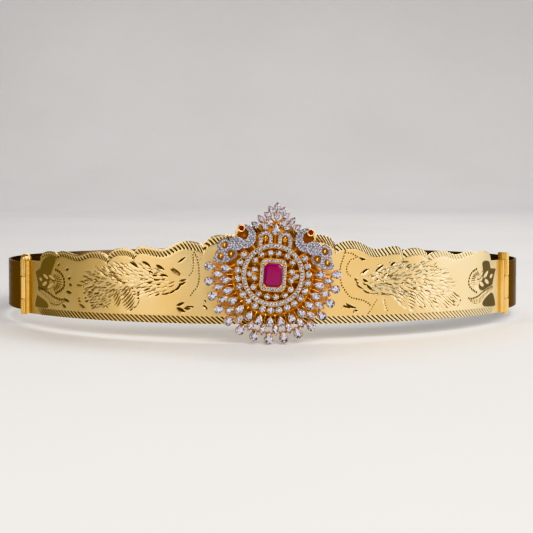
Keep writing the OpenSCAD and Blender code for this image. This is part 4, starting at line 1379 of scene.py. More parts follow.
    def panel(self, side: Side, material: Material) -> bpy.types.Object:
        """Builds one half of the plate.

        Args:
            side: The half.
            material: The finish.

        Returns:
            The half.
        """
        n, m = self.columns, self.rows
        line = np.linspace(min(0, side * self.end), max(0, side * self.end), n)
        g = self.engrave(side, line)
        front = LOOP.place(g.s, LOOP.radius - g.depth, g.z).reshape(-1, 3)
        back = LOOP.radius - LOOP.sheet
        back_low, back_top = (LOOP.place(line, back, z) for z in (0 * line, self.top(line)))
        at = np.arange(n * m).reshape(n, m)
        quads = np.stack([at[:-1, :-1], at[1:, :-1], at[1:, 1:], at[:-1, 1:]], axis=-1).reshape(-1, 4)
        low, top = n * m + np.arange(n), n * m + n + np.arange(n)
        strips = [np.stack([low[:-1], low[1:], at[1:, 0], at[:-1, 0]], axis=-1),
                  np.stack([at[:-1, -1], at[1:, -1], top[1:], top[:-1]], axis=-1),
                  np.stack([low[1:], low[:-1], top[:-1], top[1:]], axis=-1)]
        faces = [tuple(q) for q in np.vstack([quads, *strips])]
        faces.append((low[0], *at[0, :], top[0]))
        faces.append((top[-1], *at[-1, ::-1], low[-1]))
        flat = np.zeros(2 * n)
        shape = Shape(PLATE_LAYERS)
        shape.add(np.vstack([front, back_low, back_top]), faces,
                  **{name: np.concatenate([getattr(g, name).ravel(), flat]) for name in PLATE_LAYERS})
        return shape.make(f"{side.word}_engraved_plate", LAY.matrix(), material, 32.0)

    def tube_lump(self, low: float, high: float) -> Lump:
        """A soldered hinge tube on the right half.

        Args:
            low: Height of its lower end.
            high: Height of its upper end.

        Returns:
            Vertices and faces.
        """
        verts, faces = lathe([(self.bore, low), (self.tube - self.soft, low), (self.tube, low + self.soft),
                              (self.tube, high - self.soft), (self.tube - self.soft, high),
                              (self.bore, high)], self.sides)
        return verts + LOOP.foot(self.half, LOOP.radius + self.proud), faces

    def tab_lump(self, low: float, high: float) -> Lump:
        """The strip of sheet behind a hinge tube on the right half.

        Args:
            low: Height of its lower end.
            high: Height of its upper end.

        Returns:
            Vertices and faces.
        """
        s = np.linspace(self.end - 0.05, self.half - 0.1, 4)
        back = LOOP.radius - LOOP.sheet
        corners = ((LOOP.radius, low), (LOOP.radius, high), (back, high), (back, low))
        verts = np.vstack([LOOP.place(s, r, z) for r, z in corners])
        faces = [(k * 4 + i, k * 4 + i + 1, (k + 1) % 4 * 4 + i + 1, (k + 1) % 4 * 4 + i)
                 for k in range(4) for i in range(3)]
        return verts, [*faces, (0, 4, 8, 12), (15, 11, 7, 3)]

    def rod_lump(self) -> Lump:
        """The round rod beside the hinge tubes on the right half.

        Returns:
            Vertices and faces.
        """
        profile = [(self.rod - self.soft, 0), (self.rod, self.soft), (self.rod, self.tab - self.soft),
                   (self.rod - self.soft, self.tab)]
        verts, faces = lathe(profile, self.sides)
        clear = self.tube + self.gap
        place = LOOP.foot(self.half - clear - self.rod - 0.05, LOOP.radius + self.rod / 3)
        return verts + place, faces + caps(len(profile), self.sides)

    def furniture(self, side: Side, material: Material) -> None:
        """Builds one side's hinge tubes, the tabs behind them and the rod, as one piece.

        Args:
            side: The half.
            material: The finish.
        """
        shape = Shape()
        for low, high in ((0.0, self.tube_low - self.gap / 2), (self.tube_high + self.gap / 2, self.tab)):
            shape.add(*side.mirror(self.tube_lump(low, high)))
            shape.add(*side.mirror(self.tab_lump(low + 0.02, high - 0.02)))
        shape.add(*side.mirror(self.rod_lump()))
        shape.make(f"{side.word}_hinge_tubes", LAY.matrix(), material, 35.0)

    def build(self, engraved: Material, polished: Material) -> None:
        """Builds the plate and hides the plain one.

        Args:
            engraved: The finish of the plate.
            polished: The finish of the tubes and rods.
        """
        for side in Side:
            half = self.panel(side, engraved)
            self.furniture(side, polished)
            if side is Side.RIGHT:
                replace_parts(half, "front_plate")


# Stones

PEAR_WIDEST = 0.77      # greatest width of the pear's formula, which the given width is divided by


@dataclass(frozen=True)
class Gem:
    """A cut stone: where it sits on the pendant and how it is cut."""

    x: float
    y: float
    turn: float
    cut: Cut
    width: float
    length: float
    height: float


def outline(cut: Cut, width: float, length: float, sides: int) -> np.ndarray:
    """Points round a stone's girdle, with its point along +Y, as CAD has them.

    Args:
        cut: The stone's outline.
        width: Its width.
        length: Its length.
        sides: Number of points.

    Returns:
        The points, one row each.
    """
    a = np.radians(90 + 360 * np.arange(sides) / sides)
    across, up = width / 2 * np.cos(a), length / 2 * np.sin(a)
    if cut is Cut.PEAR:
        across = across * np.sqrt((1 - np.sin(a)) / 2) / PEAR_WIDEST
    elif cut is Cut.MARQUISE:
        across = across * np.abs(np.cos(a))
    return np.stack([across, up], axis=-1)


@dataclass
class Lapidary:
    """Cuts brilliants, with star, kite and girdle facets over a pointed pavilion.

    Widths are shares of the girdle's, and heights shares of the stone's width.
    """

    rng: np.random.Generator = field(default_factory=lambda: np.random.default_rng(SEED))
    table: float = 0.54
    belly: float = 0.78             # width where the crown's kites end
    belly_height: float = 0.52      # height there, as a share of the crown's
    crown: float = 0.17
    girdle: float = 0.05
    pavilion: float = 0.38

    def tone(self, low: float, high: float) -> float:
        """Draws a facet's tone: its painted share of reflected light."""
        return float(self.rng.uniform(low, high))

    def brilliant(self, gem: Gem, sides: int = 16) -> Stone:
        """One brilliant in the pendant's frame.

        Args:
            gem: Where it sits and how it is cut.
            sides: Number of girdle points, a multiple of 2.

        Returns:
            Vertices, faces and one tone a face.
        """
        rim = outline(gem.cut, gem.width, gem.length, sides)
        half, w = sides // 2, gem.width
        belly = (self.girdle + self.crown * self.belly_height) * w
        verts = np.vstack([
            np.column_stack([rim[::2] * self.table, np.full(half, (self.crown + self.girdle) * w)]),
            np.column_stack([rim[1::2] * self.belly, np.full(half, belly)]),
            np.column_stack([rim, np.full(sides, self.girdle * w)]),
            np.column_stack([rim, np.zeros(sides)]),
            [(0.0, 0.0, -self.pavilion * w)]])
        k, u, low, culet = half, 2 * half, 2 * half + sides, 2 * half + 2 * sides
        faces: Faces = [tuple(range(half))]
        # each face's tone is a painted reflection
        tones = [0.72]
        for i in range(half):
            j = (i + 1) % half
            faces += [(i, k + i, j), (i, u + 2 * i, k + i), (k + i, u + 2 * j, j),
                      (u + 2 * i, u + 2 * i + 1, k + i), (u + 2 * i + 1, u + 2 * j, k + i)]
            kite = self.tone(0.25, 1.0)
            tones += [self.tone(0.0, 0.9), kite, self.tone(0.2, 1.0), self.tone(0.0, 0.8)]
            tones.append(self.tone(0.3, 1.0))
        for i in range(sides):
            j = (i + 1) % sides
            faces += [(low + i, low + j, u + j, u + i), (low + j, low + i, culet)]
            tones += [0.8, self.tone(0.0, 0.6)]
        turn = Matrix.Rotation(math.radians(gem.turn), 3, "Z")
        return verts @ np.array(turn).T + [gem.x, gem.y, gem.height], faces, tones


@dataclass(frozen=True)
class StepCut:
    """The big stone, with cut corners: three crown steps, a table and three pavilion steps."""

    width: float = 6.98
    length: float = 8.98
    corner: float = 1.2
    height: float = 3.5
    crown: float = 1.19
    pavilion: float = 2.5
    girdle: float = 0.12
    crown_steps: Table = ((0.70, 1.0), (0.83, 0.74), (0.93, 0.42))      # shares of the width and the crown
    pavilion_steps: Table = ((0.8, 0.38), (0.5, 0.72), (0.16, 1.0))
    # painted reflections: tones of the side facets, the table and the culet
    tones: tuple[float, ...] = (0.75, 0.35, 0.55, 0.25, 0.9, 0.45, 0.6, 0.3)
    table_tone: float = 0.55
    culet_tone: float = 0.3

    def level(self, share: float, z: float) -> np.ndarray:
        """One level of the stone.

        Args:
            share: Its share of the girdle's width.
            z: Its height over the girdle.

        Returns:
            Its eight corners.
        """
        w, l = self.width * share, self.length - self.width * (1 - share)
        c = self.corner * (0.45 + 0.55 * share)
        corners = [(w / 2, l / 2 - c), (w / 2 - c, l / 2), (-w / 2 + c, l / 2), (-w / 2, l / 2 - c),
                   (-w / 2, -l / 2 + c), (-w / 2 + c, -l / 2), (w / 2 - c, -l / 2), (w / 2, -l / 2 + c)]
        return np.array([(x, y, z) for x, y in corners])

    def stone(self) -> Stone:
        """Cuts the stone.

        Returns:
            Vertices, faces and one tone a face.
        """
        levels = [(wide, self.crown * up) for wide, up in self.crown_steps]
        levels += [(1.0, self.girdle), (1.0, 0.0)]
        levels += [(wide, -self.pavilion * down) for wide, down in self.pavilion_steps]
        verts = np.vstack([self.level(wide, z) for wide, z in levels]) + [0, 0, self.height]
        sides = [tuple(reversed(face)) for face in bands(len(levels), 8)]
        shades = [self.tones[(i + 3 * k) % 8] for k in range(len(levels) - 1) for i in range(8)]
        culet = tuple(reversed(range(len(verts) - 8, len(verts))))
        return verts, [tuple(range(8)), *sides, culet], [self.table_tone, *shades, self.culet_tone]


# Pendant


@dataclass(frozen=True)
class PendantDress:
    """The finishes that the pendant wears."""

    cast: Material = field(default_factory=lambda: CastGold().material())
    # darker cast gold: painted shade in the birds' throat and tail openings
    pit_shade: Material = field(default_factory=lambda: CastGold(
        "pit_shade_gold", (0.34, 0.11, 0.014), (0.20, 0.045, 0.004), (0.75, 0.34, 0.06)).material())
    polished: Material = field(default_factory=lambda: PolishedGold("bright_gold").material())
    pale: Material = field(default_factory=lambda: PolishedGold(
        "pale_metal", (0.36, 0.34, 0.37), (0.22, 0.20, 0.22), 0.2).material())
    # the stones' facet tones are painted reflections
    white: Material = field(default_factory=lambda: CutStone(
        "white_stone", (0.58, 0.56, 0.63), (0.03, 0.024, 0.04)).material())
    red: Material = field(default_factory=lambda: CutStone(
        "ruby_stone", (0.30, 0.003, 0.085), (0.12, 0.0, 0.035), 0.0, 0.1, 0.06).material())
    dark_red: Material = field(default_factory=lambda: CutStone(
        "dark_red_stone", (0.20, 0.005, 0.02), (0.03, 0.0, 0.006), 0.0, 0.1).material())


DIAGONAL = (45, 135, 225, 315)      # ways round a stone's girdle, in degrees from its point
CROSS = (0, 90, 180, 270)


@dataclass(frozen=True)
class Row:
    """A row of stones on the fan's rays, and the claws that hold each of them."""

    count: int
    reach: float
    cut: Cut
    width: float
    length: float
    claw: float
    ways: tuple[int, ...]


@dataclass
class Pendant:
    """The stone-set pendant on the front: stones, claws, beads, ridges and the two birds."""

    ring: float = 11.0
    ring_count: int = 59
    ring_stone: Triple = (1.6, 1.24, 2.76)      # width, length, height of the girdle
    halo_count: int = 36
    halo_wide: float = 8.35
    halo_long: float = 10.65
    halo_corner: float = 1.7
    halo_stone: Triple = (1.36, 1.02, 3.26)
    pitch: float = 13.45
    cup_top: float = 2.5
    spare: float = 0.34
    cutter: Lapidary = field(default_factory=Lapidary)
    rounds: Row = Row(19, 13.37, Cut.ROUND, 2.12, 2.12, 0.19, DIAGONAL)
    pears: Row = Row(15, 17.67, Cut.PEAR, 2.4, 3.7, 0.19, (0, 60, 180, 300))
    marquises: Row = Row(14, 20.87, Cut.MARQUISE, 1.95, 3.6, 0.18, CROSS)
    drops: Row = Row(15, 23.67, Cut.PEAR, 2.7, 4.0, 0.2, (0, 60, 135, 225, 300))
    inner: Table = ((0.136, 0.750), (0.445, 0.673), (0.640, 0.470), (0.632, 0.141), (0.795, 0.000),
                    (0.632, -0.141), (0.640, -0.450), (0.450, -0.668), (0.145, -0.745))
    inner_stone: float = 1.8
    leaf_pairs: int = 6
    leaf: Point = (1.95, 2.8)
    leaves: tuple[tuple[float, float, float, float], ...] = (       # place in rings, lean, size
        (0.000, 2.327, 0, 1.12), (0.209, 2.218, 30, 1), (0.323, 2.036, 50, 1), (0.545, 1.891, 38, 1),
        (0.727, 1.682, 60, 1), (0.255, 1.791, 55, 1), (0.409, 1.640, 66, 1), (0.000, 1.990, 180, 1),
        (0.000, 1.560, 0, 1.35))
    arch_at: float = 0.332          # places and radius of an arch, in rings
    arch_radius: float = 0.177
    arch_spring: float = 1.250
    arch_slot: float = 0.98
    arch_gap: float = 0.12
    arch_stone: float = 1.4
    rim: float = 0.87               # half the ring channel's width
    arch_clear: float = 0.1
    eye: Point = (1.186, 1.532)
    eye_stone: float = 1.85
    claw_reach: float = 1.02        # distance from the stone's middle, as a share of its girdle's
    claw_lift: float = 0.05
    crown_claw: float = 0.16
    arch_claw: float = 0.12
    corner_claw: Point = (0.34, 0.5)
    corner_place: Triple = (2.95, 3.95, 3.72)
    corner_apart: float = 0.32
    grain: float = 0.12
    ring_grain: Point = (0.55, 2.88)        # distance from the stones' middle line, height
    halo_grain: Point = (0.42, 3.36)
    bar: Point = (0.22, 0.7)        # half width and height of a bright ridge
    bar_base: float = 1.5
    long_bars: tuple[int, float, float] = (7, 16.9, 2.4)        # rays on each side, reach, half length
    short_bars: tuple[int, float, float] = (9, 13.6, 0.8)
    inner_bar: Point = (0.9, 2.6)   # half length, and the least distance between its two stones
    arch_bar: Point = (0.45, 1.75)  # half depth and height of the bars in the arches
    arch_rows: tuple[tuple[float, float, float, float], ...] = (    # across, up, half width, half height
        (0.0, 13.5, 0.36, 1.5), (-0.62, 13.3, 0.2, 1.0), (0.62, 13.3, 0.2, 1.0))
    eye_wire: Point = (1.2, 0.3)    # radius of the ring round an eye and of its wire
    eye_wire_up: float = 0.42
    beak_at: Point = (14.3, 16.1)
    beak_long: float = 2.6
    beak_thick: float = 0.55
    beak_up: float = 2.3
    pave_pitch: float = 0.84
    pave_grain: float = 0.36        # how far beside its stone a grain lies, across and up
    plate_low: float = 1.5          # heights of the birds' plates, pits and ridges
    plate_top: float = 2.92
    tail_top: float = 2.7
    tail_pit: float = 2.36
    throat_pit: Point = (0.9, 1.3)
    tail_ridge: Triple = (0.4, 0.7, 0.3)
    tail_ridge_up: float = 2.34
    neck_plate: Region = Region(
        ((12.5, 18.4), (10.2, 18.2), (8.4, 17.0), (7.4, 15.2), (7.2, 13.0), (8.0, 11.0), (9.8, 9.5),
         (12.2, 9.2), (12.4, 10.6), (12.1, 12.4), (10.8, 13.0), (10.2, 14.6), (10.6, 16.2), (11.8, 16.9)))
    throat_plate: Region = Region(
        ((9.0, 13.0), (12.0, 11.6), (14.6, 12.6), (15.2, 15.2), (13.0, 17.6), (9.8, 17.0)))
    body_plate: Region = Region(
        ((12.0, 13.0), (14.2, 13.8), (16.4, 13.2), (17.8, 11.6), (17.6, 9.8), (16.0, 8.5), (13.8, 8.3),
         (12.2, 9.2), (11.6, 10.8)))
    tail_plate: Region = Region(
        ((17.8, 13.1), (20.0, 12.4), (21.9, 10.2), (21.3, 8.1), (22.0, 6.3), (23.1, 4.6), (22.0, 3.35),
         (19.8, 3.3), (17.6, 3.7), (16.0, 4.4), (15.2, 5.0), (14.0, 6.4), (13.8, 8.1), (15.6, 9.0),
         (17.4, 10.4)),
        (((18.2, 12.0), (20.8, 10.1), (18.9, 8.4), (17.6, 9.7)),
         ((20.2, 7.6), (21.4, 6.0), (20.9, 4.4), (19.1, 4.7), (18.8, 6.6)),
         ((14.7, 8.1), (17.6, 8.5), (17.5, 6.2), (16.4, 5.0), (14.8, 6.6))))

    def piece(self, shape: Shape, name: str, material: Material,
              sharp: float | None = 50.0) -> bpy.types.Object:
        """Makes a piece in the pendant's own frame. The arguments are those of Shape.make."""
        return shape.make(name, PENDANT.matrix(), material, sharp)

    def on_ray(self, k: float, r: float) -> Triple:
        """A place on a ray of the fan, and the turn of what stands on it."""
        a = math.radians(k * self.pitch)
        return r * math.sin(a), -r * math.cos(a), k * self.pitch

    def fan(self, row: Row) -> list[Gem]:
        """The stones of a row on the fan's rays."""
        return [Gem(*self.on_ray(i - (row.count - 1) / 2, row.reach), row.cut, row.width + self.spare,
                    row.length + self.spare, self.cup_top) for i in range(row.count)]

    def ring_gems(self) -> list[Gem]:
        """The ring of small stones."""
        turns = [2 * math.pi * i / self.ring_count for i in range(self.ring_count)]
        return [Gem(self.ring * math.cos(a), self.ring * math.sin(a), math.degrees(a), Cut.ROUND,
                    *self.ring_stone) for a in turns]

    def halo_spots(self) -> list[Triple]:
        """Places round the ruby.

        Returns:
            Places across and up, and the direction that each faces.
        """
        wide, long, corner = self.halo_wide, self.halo_long, self.halo_corner
        side, end, quarter = long - 2 * corner, wide - 2 * corner, math.pi / 2 * corner
        total = 2 * (side + end) + 4 * quarter
        spots = []
        for i in range(self.halo_count):
            d = (i + 0.5) * total / self.halo_count
            flip = -1 if d >= total / 2 else 1
            d = d % (total / 2)
            if d < side:
                a, x, y = 0.0, wide / 2, d - side / 2
            elif d < side + quarter:
                a = (d - side) / corner
                x, y = wide / 2 - corner + corner * math.cos(a), long / 2 - corner + corner * math.sin(a)
            elif d < side + quarter + end:
                a, x, y = math.pi / 2, wide / 2 - corner - (d - side - quarter), long / 2
            else:
                a = math.pi / 2 + (d - side - quarter - end) / corner
                x, y = -wide / 2 + corner + corner * math.cos(a), long / 2 - corner + corner * math.sin(a)
            spots.append((flip * x, flip * y, math.degrees(a)))
        return spots

    def arch_gems(self, side: Side) -> list[Gem]:
        """The stones of one arch, up from the ring, round the top and down again.

        Args:
            side: The half that the arch is on.

        Returns:
            The stones.
        """
        x, r, z = (share * self.ring for share in (self.arch_at, self.arch_radius, self.arch_spring))
        rim = self.ring + (self.rim + self.arch_slot / 2 + self.arch_clear)
        inner, outer = (z - math.sqrt(rim ** 2 - leg * leg) for leg in (x - r, x + r))
        total = inner + math.pi * r + outer
        count = int(total / (self.arch_slot + self.arch_gap)) + 1
        gems = []
        for i in range(count):
            d = i * total / (count - 1)
            if d < inner:
                p = (x - r, z - inner + d)
            elif d > inner + math.pi * r:
                p = (x + r, z - (d - inner - math.pi * r))
            else:
                a = math.pi - (d - inner) / r
                p = (x + r * math.cos(a), z + r * math.sin(a))
            gems.append(Gem(side * p[0], p[1], 20.0 * i, Cut.ROUND, self.arch_stone, self.arch_stone,
                            self.cup_top))
        return gems

    def inner_gems(self) -> list[Gem]:
        """The stones between the ring and the halo."""
        wide = self.inner_stone + self.spare
        return [Gem(side * x * self.ring, y * self.ring, 15.0, Cut.ROUND, wide, wide, self.cup_top)
                for x, y in self.inner for side in (Side.RIGHT, Side.LEFT)]

    def crown_gem(self, i: int) -> Gem:
        """A leaf of the crown.

        Args:
            i: Its number, counted from 0 as CAD counts: the top, the pairs downwards, and the middle ones.

        Returns:
            The leaf.
        """
        paired = 1 <= i <= 2 * self.leaf_pairs
        row = (i + 1) // 2 if paired or i == 0 else i - self.leaf_pairs
        side = Side.LEFT if paired and i % 2 == 0 else Side.RIGHT
        x, y, lean, size = self.leaves[row]
        width, length = (share * size + self.spare for share in self.leaf)
        return Gem(side * x * self.ring, y * self.ring, -side * lean, Cut.PEAR, width, length, self.cup_top)

    def set_stones(self, name: str, node: str, gems: Sequence[Gem], material: Material) -> None:
        """Cuts some stones as one piece that stands for a CAD node.

        Args:
            name: The piece's name.
            node: The CAD node.
            gems: The stones.
            material: Their finish.
        """
        shape = Shape()
        for gem in gems:
            shape.add(*self.cutter.brilliant(gem))
        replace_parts(self.piece(shape, name, material, None), node)

    def claws(self, gems: Sequence[Gem], shape: Shape, radius: float, ways: Sequence[int]) -> None:
        """Adds claws round the girdles of some stones.

        Args:
            gems: The stones.
            shape: Takes the claws.
            radius: Radius of a claw.
            ways: Where the claws stand, in degrees from the stone's point.
        """
        verts, faces = bead(radius, radius * 2.0, 8, 4)
        for gem in gems:
            rim = outline(gem.cut, gem.width, gem.length, 72)
            for way in ways:
                p = rim[way * len(rim) // 360] * self.claw_reach
                q = np.array(Matrix.Rotation(math.radians(gem.turn), 2)) @ p
                shape.add(verts + [gem.x + q[0], gem.y + q[1], gem.height + self.claw_lift], faces)

    def pave(self, region: Region, height: float) -> list[Gem]:
        """Fills a region with close-set stones, from its rim inwards.

        Args:
            region: The region.
            height: Height of their girdles.

        Returns:
            The stones.
        """
        wide = self.pave_pitch
        x, y = (q.ravel() for q in np.meshgrid(np.arange(6, 25, 0.1), np.arange(2, 20, 0.1)))
        depth = region.depth(x, y)
        x, y, depth = (q[depth > wide * 0.52] for q in (x, y, depth))
        near, gems = np.full(len(x), 50.0), []
        while (near >= wide).any():
            i = int(np.argmin(np.where(near >= wide, near + depth * 2.5, 1e9)))
            near = np.minimum(near, np.hypot(x - x[i], y - y[i]))
            gems.append(Gem(float(x[i]), float(y[i]), 37.0 * len(gems), Cut.ROUND, wide * 1.06,
                            wide * 1.06, height))
        return gems

    def bird(self, side: Side, dress: PendantDress) -> None:
        """Dresses one bird.

        Args:
            side: The half that it is on.
            dress: The finishes.
        """
        stones, plates, pits, gold = Shape(), Shape(), Shape(), Shape()
        for region, top in ((self.neck_plate, self.plate_top), (self.body_plate, self.plate_top),
                            (self.tail_plate, self.tail_top)):
            plates.add(*side.mirror(region.slab(self.plate_low, top)))
            for gem in self.pave(region, top + 0.02):
                placed = replace(gem, x=side * gem.x)
                stones.add(*self.cutter.brilliant(placed, 12))
                place = [placed.x + self.pave_grain, gem.y + self.pave_grain, top + 0.04]
                plates.add(GRAIN + place, GRAIN_FACES)
        # the throat and the tail's floor take the darker gold: painted shade in the openings
        pits.add(*side.mirror(self.throat_plate.slab(*self.throat_pit)))
        pits.add(*side.mirror(Region(self.tail_plate.outline).slab(self.plate_low, self.tail_pit)))
        for hole in self.tail_plate.holes:
            x, y = np.mean(hole, axis=0)
            gold.add(RIDGE * self.tail_ridge + [side * x, y, self.tail_ridge_up], RIDGE_FACES)
        self.piece(stones, f"{side.word}_bird_pave", dress.white, None)
        self.piece(plates, f"{side.word}_bird_plates", dress.pale)
        self.piece(pits, f"{side.word}_bird_pits", dress.pit_shade)
        gold.add(*side.mirror(self.beak()))
        verts, faces = torus(*self.eye_wire, 28, 8)
        x, y = side * self.eye[0] * self.ring, self.eye[1] * self.ring
        gold.add(verts + [x, y, self.cup_top + self.eye_wire_up], faces)
        self.piece(gold, f"{side.word}_bird_gold", dress.polished)

    def beak(self) -> Lump:
        """The right bird's beak, which curves down and outwards from the eye.

        Returns:
            Vertices and faces.
        """
        rings, a = 7, circle(8)
        rows = []
        for t in (k / (rings - 1) for k in range(rings)):
            x = self.beak_at[0] + (0.25 * t + 0.3 * math.sin(t * 2.4))
            y = self.beak_at[1] - self.beak_long * t
            size = self.beak_thick * (1 - t) ** 0.75 + 0.06
            z = self.beak_up + 0.7 * size * np.sin(a)
            rows.append(np.stack([x + size * np.cos(a), y + 0 * a, z], axis=-1))
        faces = bands(rings, len(a)) + caps(rings, len(a))
        return np.vstack(rows), [tuple(reversed(face)) for face in faces]

    def beading(self, gold: Material) -> None:
        """Builds the grains between the stones of the ring and of the halo.

        Args:
            gold: The finish.
        """
        shape = Shape()
        verts, faces = bead(self.grain, self.grain, 6, 3)
        off, z = self.ring_grain
        for i in range(self.ring_count):
            a = 2 * math.pi * (i + 0.5) / self.ring_count
            for r in (self.ring - off, self.ring + off):
                shape.add(verts + [r * math.cos(a), r * math.sin(a), z], faces)
        off, z = self.halo_grain
        spots = self.halo_spots()
        for (x0, y0, turn), (x1, y1, _) in zip(spots, spots[1:] + spots[:1]):
            dx, dy = math.cos(math.radians(turn)), math.sin(math.radians(turn))
            flip = 1 if x0 * dx + y0 * dy > 0 else -1
            for q in (-off, off):
                shape.add(verts + [(x0 + x1) / 2 + flip * q * dx, (y0 + y1) / 2 + flip * q * dy, z], faces)
        self.piece(shape, "ring_and_halo_beading", gold)

    def corner_claws(self, shape: Shape) -> None:
        """Adds the four double claws on the ruby's corners.

        Args:
            shape: Takes the claws.
        """
        verts, faces = bead(*self.corner_claw, 10, 5)
        x, y, z = self.corner_place
        for sx in Side:
            for sy in Side:
                for d in (-self.corner_apart, self.corner_apart):
                    shape.add(verts + [sx * (x + d * 0.7), sy * (y - d * 0.7), z], faces)

    def bars(self, inner: Sequence[Gem], shape: Shape) -> None:
        """Adds the bright ridges that run outwards between the stones.

        Args:
            inner: The stones between the ring and the halo.
            shape: Takes the ridges.
        """
        rows = (self.long_bars, self.short_bars)
        spots = [(*self.on_ray(k + 0.5, reach), half) for rays, reach, half in rows
                 for k in range(-rays, rays)]
        half, least = self.inner_bar
        ring = sorted(inner, key=lambda gem: math.atan2(gem.x, -gem.y))
        for a, b in zip(ring, ring[1:] + ring[:1]):
            x, y = (a.x + b.x) / 2, (a.y + b.y) / 2
            if math.dist((a.x, a.y), (b.x, b.y)) > least:
                spots.append((x, y, math.degrees(math.atan2(x, -y)), half))
        wide, tall = self.bar
        for x, y, turn, half in spots:
            way = np.array(Matrix.Rotation(math.radians(turn), 3, "Z"))
            shape.add((RIDGE * (wide, half, tall)) @ way.T + [x, y, self.bar_base], RIDGE_FACES)

    def arch_bars(self, shape: Shape) -> None:
        """Adds the upright bars of bright gold inside the two arches.

        Args:
            shape: Takes the bars.
        """
        deep, z = self.arch_bar
        for side in Side:
            for x, y, wide, tall in self.arch_rows:
                place = [side * self.arch_at * self.ring + x, y, z]
                shape.add(RIDGE * (wide, tall, deep) + place, RIDGE_FACES)

    def build(self, dress: PendantDress) -> None:
        """Builds the stones and their settings.

        Args:
            dress: The finishes.
        """
        rounds, pears, marquises, drops = (
            self.fan(row) for row in (self.rounds, self.pears, self.marquises, self.drops))
        inner = self.inner_gems()
        crown = [self.crown_gem(i) for i in range(len(self.leaves) + self.leaf_pairs)]
        halo = [Gem(*spot, Cut.ROUND, *self.halo_stone) for spot in self.halo_spots()]
        left_arch, right_arch = (self.arch_gems(side) for side in Side)
        fields = {"round": rounds, "pear": pears, "marquise": marquises, "inner": inner, "halo": halo,
                  "ring": self.ring_gems(), "left_arch": left_arch, "right_arch": right_arch}
        for word, gems in fields.items():
            self.set_stones(f"{word}_cut_stones", f"{word}_stones", gems, dress.white)
        for kind, gems in (("drop", drops), ("crown", crown)):
            for i, gem in enumerate(gems, 1):
                self.set_stones(f"{kind}_cut_stone_{i}", f"{kind}_stone_{i}", [gem], dress.white)
        for side in Side:
            eye = Gem(side * self.eye[0] * self.ring, self.eye[1] * self.ring, 0, Cut.ROUND, self.eye_stone,
                      self.eye_stone, self.cup_top + 0.25)
            self.set_stones(f"{side.word}_eye_cut_stone", f"{side.word}_eye_stone", [eye], dress.dark_red)
        ruby = Shape()
        ruby.add(*StepCut().stone())
        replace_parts(self.piece(ruby, "step_cut_ruby", dress.red, None), "ruby")
        held = Shape()
        for row, gems in ((self.rounds, rounds + inner), (self.pears, pears), (self.drops, drops),
                          (self.marquises, marquises)):
            self.claws(gems, held, row.claw, row.ways)
        self.claws(crown, held, self.crown_claw, CROSS)
        self.claws(left_arch + right_arch, held, self.arch_claw, (90, 270))
        self.corner_claws(held)
        ridges = Shape()
        self.arch_bars(ridges)
        self.bars(inner, ridges)
        self.piece(ridges, "bright_ridges", dress.polished)
        self.piece(held, "stone_claws", dress.cast)
        self.beading(dress.cast)
        for side in Side:
            self.bird(side, dress)


# Kept CAD pieces


@dataclass
class PlainParts:
    """CAD pieces whose shape is right and that only take a finish."""

    finishes: dict[str, Material]

    def dress(self) -> None:
        """Gives each named node its material."""
        for name, material in self.finishes.items():
            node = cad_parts[name]
            node.data.materials.clear()
            node.data.materials.append(material)
            LOG.info("%s: %s", name, material.name)


# Studio


@dataclass(frozen=True)
class SoftBox:
    """A soft light: where it hangs, its width and height in metres, its watts and its colour."""

    name: str
    place: Triple
    size: Point
    power: float
    colour: Colour
    aim: Triple = (0, 0, 0.02)

    def hang(self) -> None:
        """Hangs the light and turns it to its aim."""
        data = bpy.data.lights.new(self.name, "AREA")
        data.shape, data.size, data.size_y = "RECTANGLE", self.size[0], self.size[1]
        data.energy, data.color = self.power, self.colour
        lamp = bpy.data.objects.new(self.name, data)
        lamp.location = self.place
        lamp.rotation_mode = "QUATERNION"
        lamp.rotation_quaternion = (Vector(self.aim) - Vector(self.place)).to_track_quat("-Z", "Y")
        bpy.context.scene.collection.objects.link(lamp)


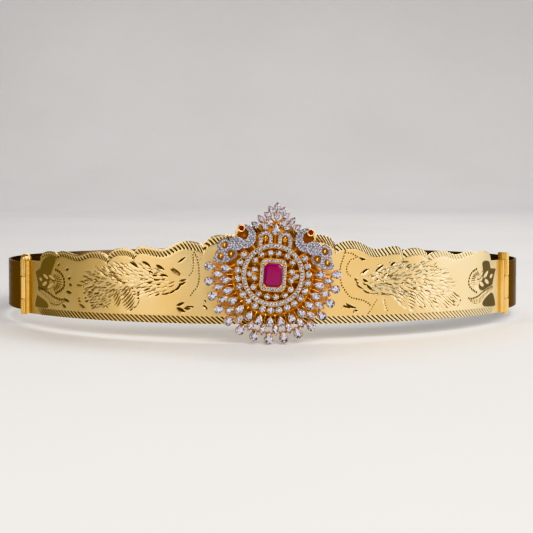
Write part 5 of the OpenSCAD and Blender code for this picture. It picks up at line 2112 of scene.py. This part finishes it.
@dataclass
class Studio:
    """Floor, sweep, soft lights and the camera. Its floor is in metres and its camera in millimetres."""

    distance: float = 684.0
    height: float = 49.48
    aside: float = 1.78
    pitch: float = 2.76
    turn: float = -1.5
    focal: float = 1502.7           # in pixels of the photograph
    frame_px: float = 533.0
    sensor: float = 36.0
    air: Colour = (0.80, 0.80, 0.84)
    air_strength: float = 0.32
    floor_wide: float = 3.2
    floor_near: float = -2.4
    floor_far: float = 1.1
    floor_tall: float = 2.6
    floor_bend: float = 0.5
    boxes: tuple[SoftBox, ...] = (
        SoftBox("key_box", (0.35, -1.1, 0.75), (1.2, 0.7), 20, (1.0, 0.97, 0.93)),
        SoftBox("right_box", (1.25, -0.1, 0.5), (0.7, 1.1), 9, (1.0, 0.97, 0.94)),
        SoftBox("left_box", (-1.0, -0.8, 0.4), (0.5, 0.6), 3, (1.0, 0.95, 0.88)),
        SoftBox("back_box", (0.2, 1.0, 1.0), (1.4, 0.6), 8, (1, 1, 1)))

    def floor(self, material: Material) -> None:
        """Makes a pale floor that sweeps up behind the belt.

        Args:
            material: Its finish.
        """
        wide, far, bend = self.floor_wide, self.floor_far, self.floor_bend
        path = [(self.floor_near, 0.0), (far, 0.0)]
        turns = np.linspace(0.1, math.pi / 2, 14)
        path += [(far + bend * math.sin(t), bend * (1 - math.cos(t))) for t in turns]
        path.append((far + bend, self.floor_tall))
        verts = [(x, y, z) for y, z in path for x in (-wide, wide)]
        faces = [(2 * i, 2 * i + 1, 2 * i + 3, 2 * i + 2) for i in range(len(path) - 1)]
        mesh = bpy.data.meshes.new("studio_floor")
        mesh.from_pydata(verts, [], faces)
        mesh.shade_smooth()
        mesh.materials.append(material)
        made = bpy.data.objects.new("studio_floor", mesh)
        bpy.context.scene.collection.objects.link(made)

    def world(self) -> None:
        """Fills the studio with even, dim light."""
        world = bpy.data.worlds.new("studio_air")
        bpy.context.scene.world = world
        world.use_nodes = True
        air = world.node_tree.nodes["Background"]
        air.inputs["Color"].default_value = (*self.air, 1)
        air.inputs["Strength"].default_value = self.air_strength

    def camera(self) -> None:
        """Sets up the camera at the photograph's viewing angle."""
        data = bpy.data.cameras.new("camera")
        data.sensor_width, data.lens = self.sensor, self.focal / self.frame_px * self.sensor
        data.clip_start, data.clip_end = 0.02, 20.0
        p = math.radians(self.pitch)
        look = Matrix(((1, 0, 0, self.aside), (0, math.sin(p), -math.cos(p), -self.distance),
                       (0, math.cos(p), math.sin(p), self.height), (0, 0, 0, 1)))
        pose = LAY.matrix() @ Matrix.Rotation(math.radians(self.turn), 4, "Z") @ look
        made = bpy.data.objects.new("camera", data)
        made.rotation_mode = "QUATERNION"
        made.location = pose.translation
        made.rotation_quaternion = pose.to_3x3().normalized().to_quaternion()
        bpy.context.scene.collection.objects.link(made)
        bpy.context.scene.camera = made

    def build(self) -> None:
        """Builds the studio."""
        bpy.context.scene.view_settings.view_transform = "Khronos PBR Neutral"
        self.floor(PaleFloor().material())
        self.world()
        for box in self.boxes:
            box.hang()
        self.camera()


def main() -> None:
    """Builds the studio and every piece of the belt."""
    logging.basicConfig(level=logging.INFO, format="%(name)s %(message)s")
    engraved = EngravedGold().material()
    polished = PolishedGold().material()
    strap = StrapGold().material()
    dress = PendantDress()
    FrontPlate().build(engraved, polished)
    Pendant().build(dress)
    PlainParts({"pendant_frame": dress.cast, "left_hinge_pin": polished, "right_hinge_pin": polished,
                "back_clasp": polished, "left_strap": strap, "right_strap": strap}).dress()
    Studio().build()


if __name__ == "__main__":
    main()
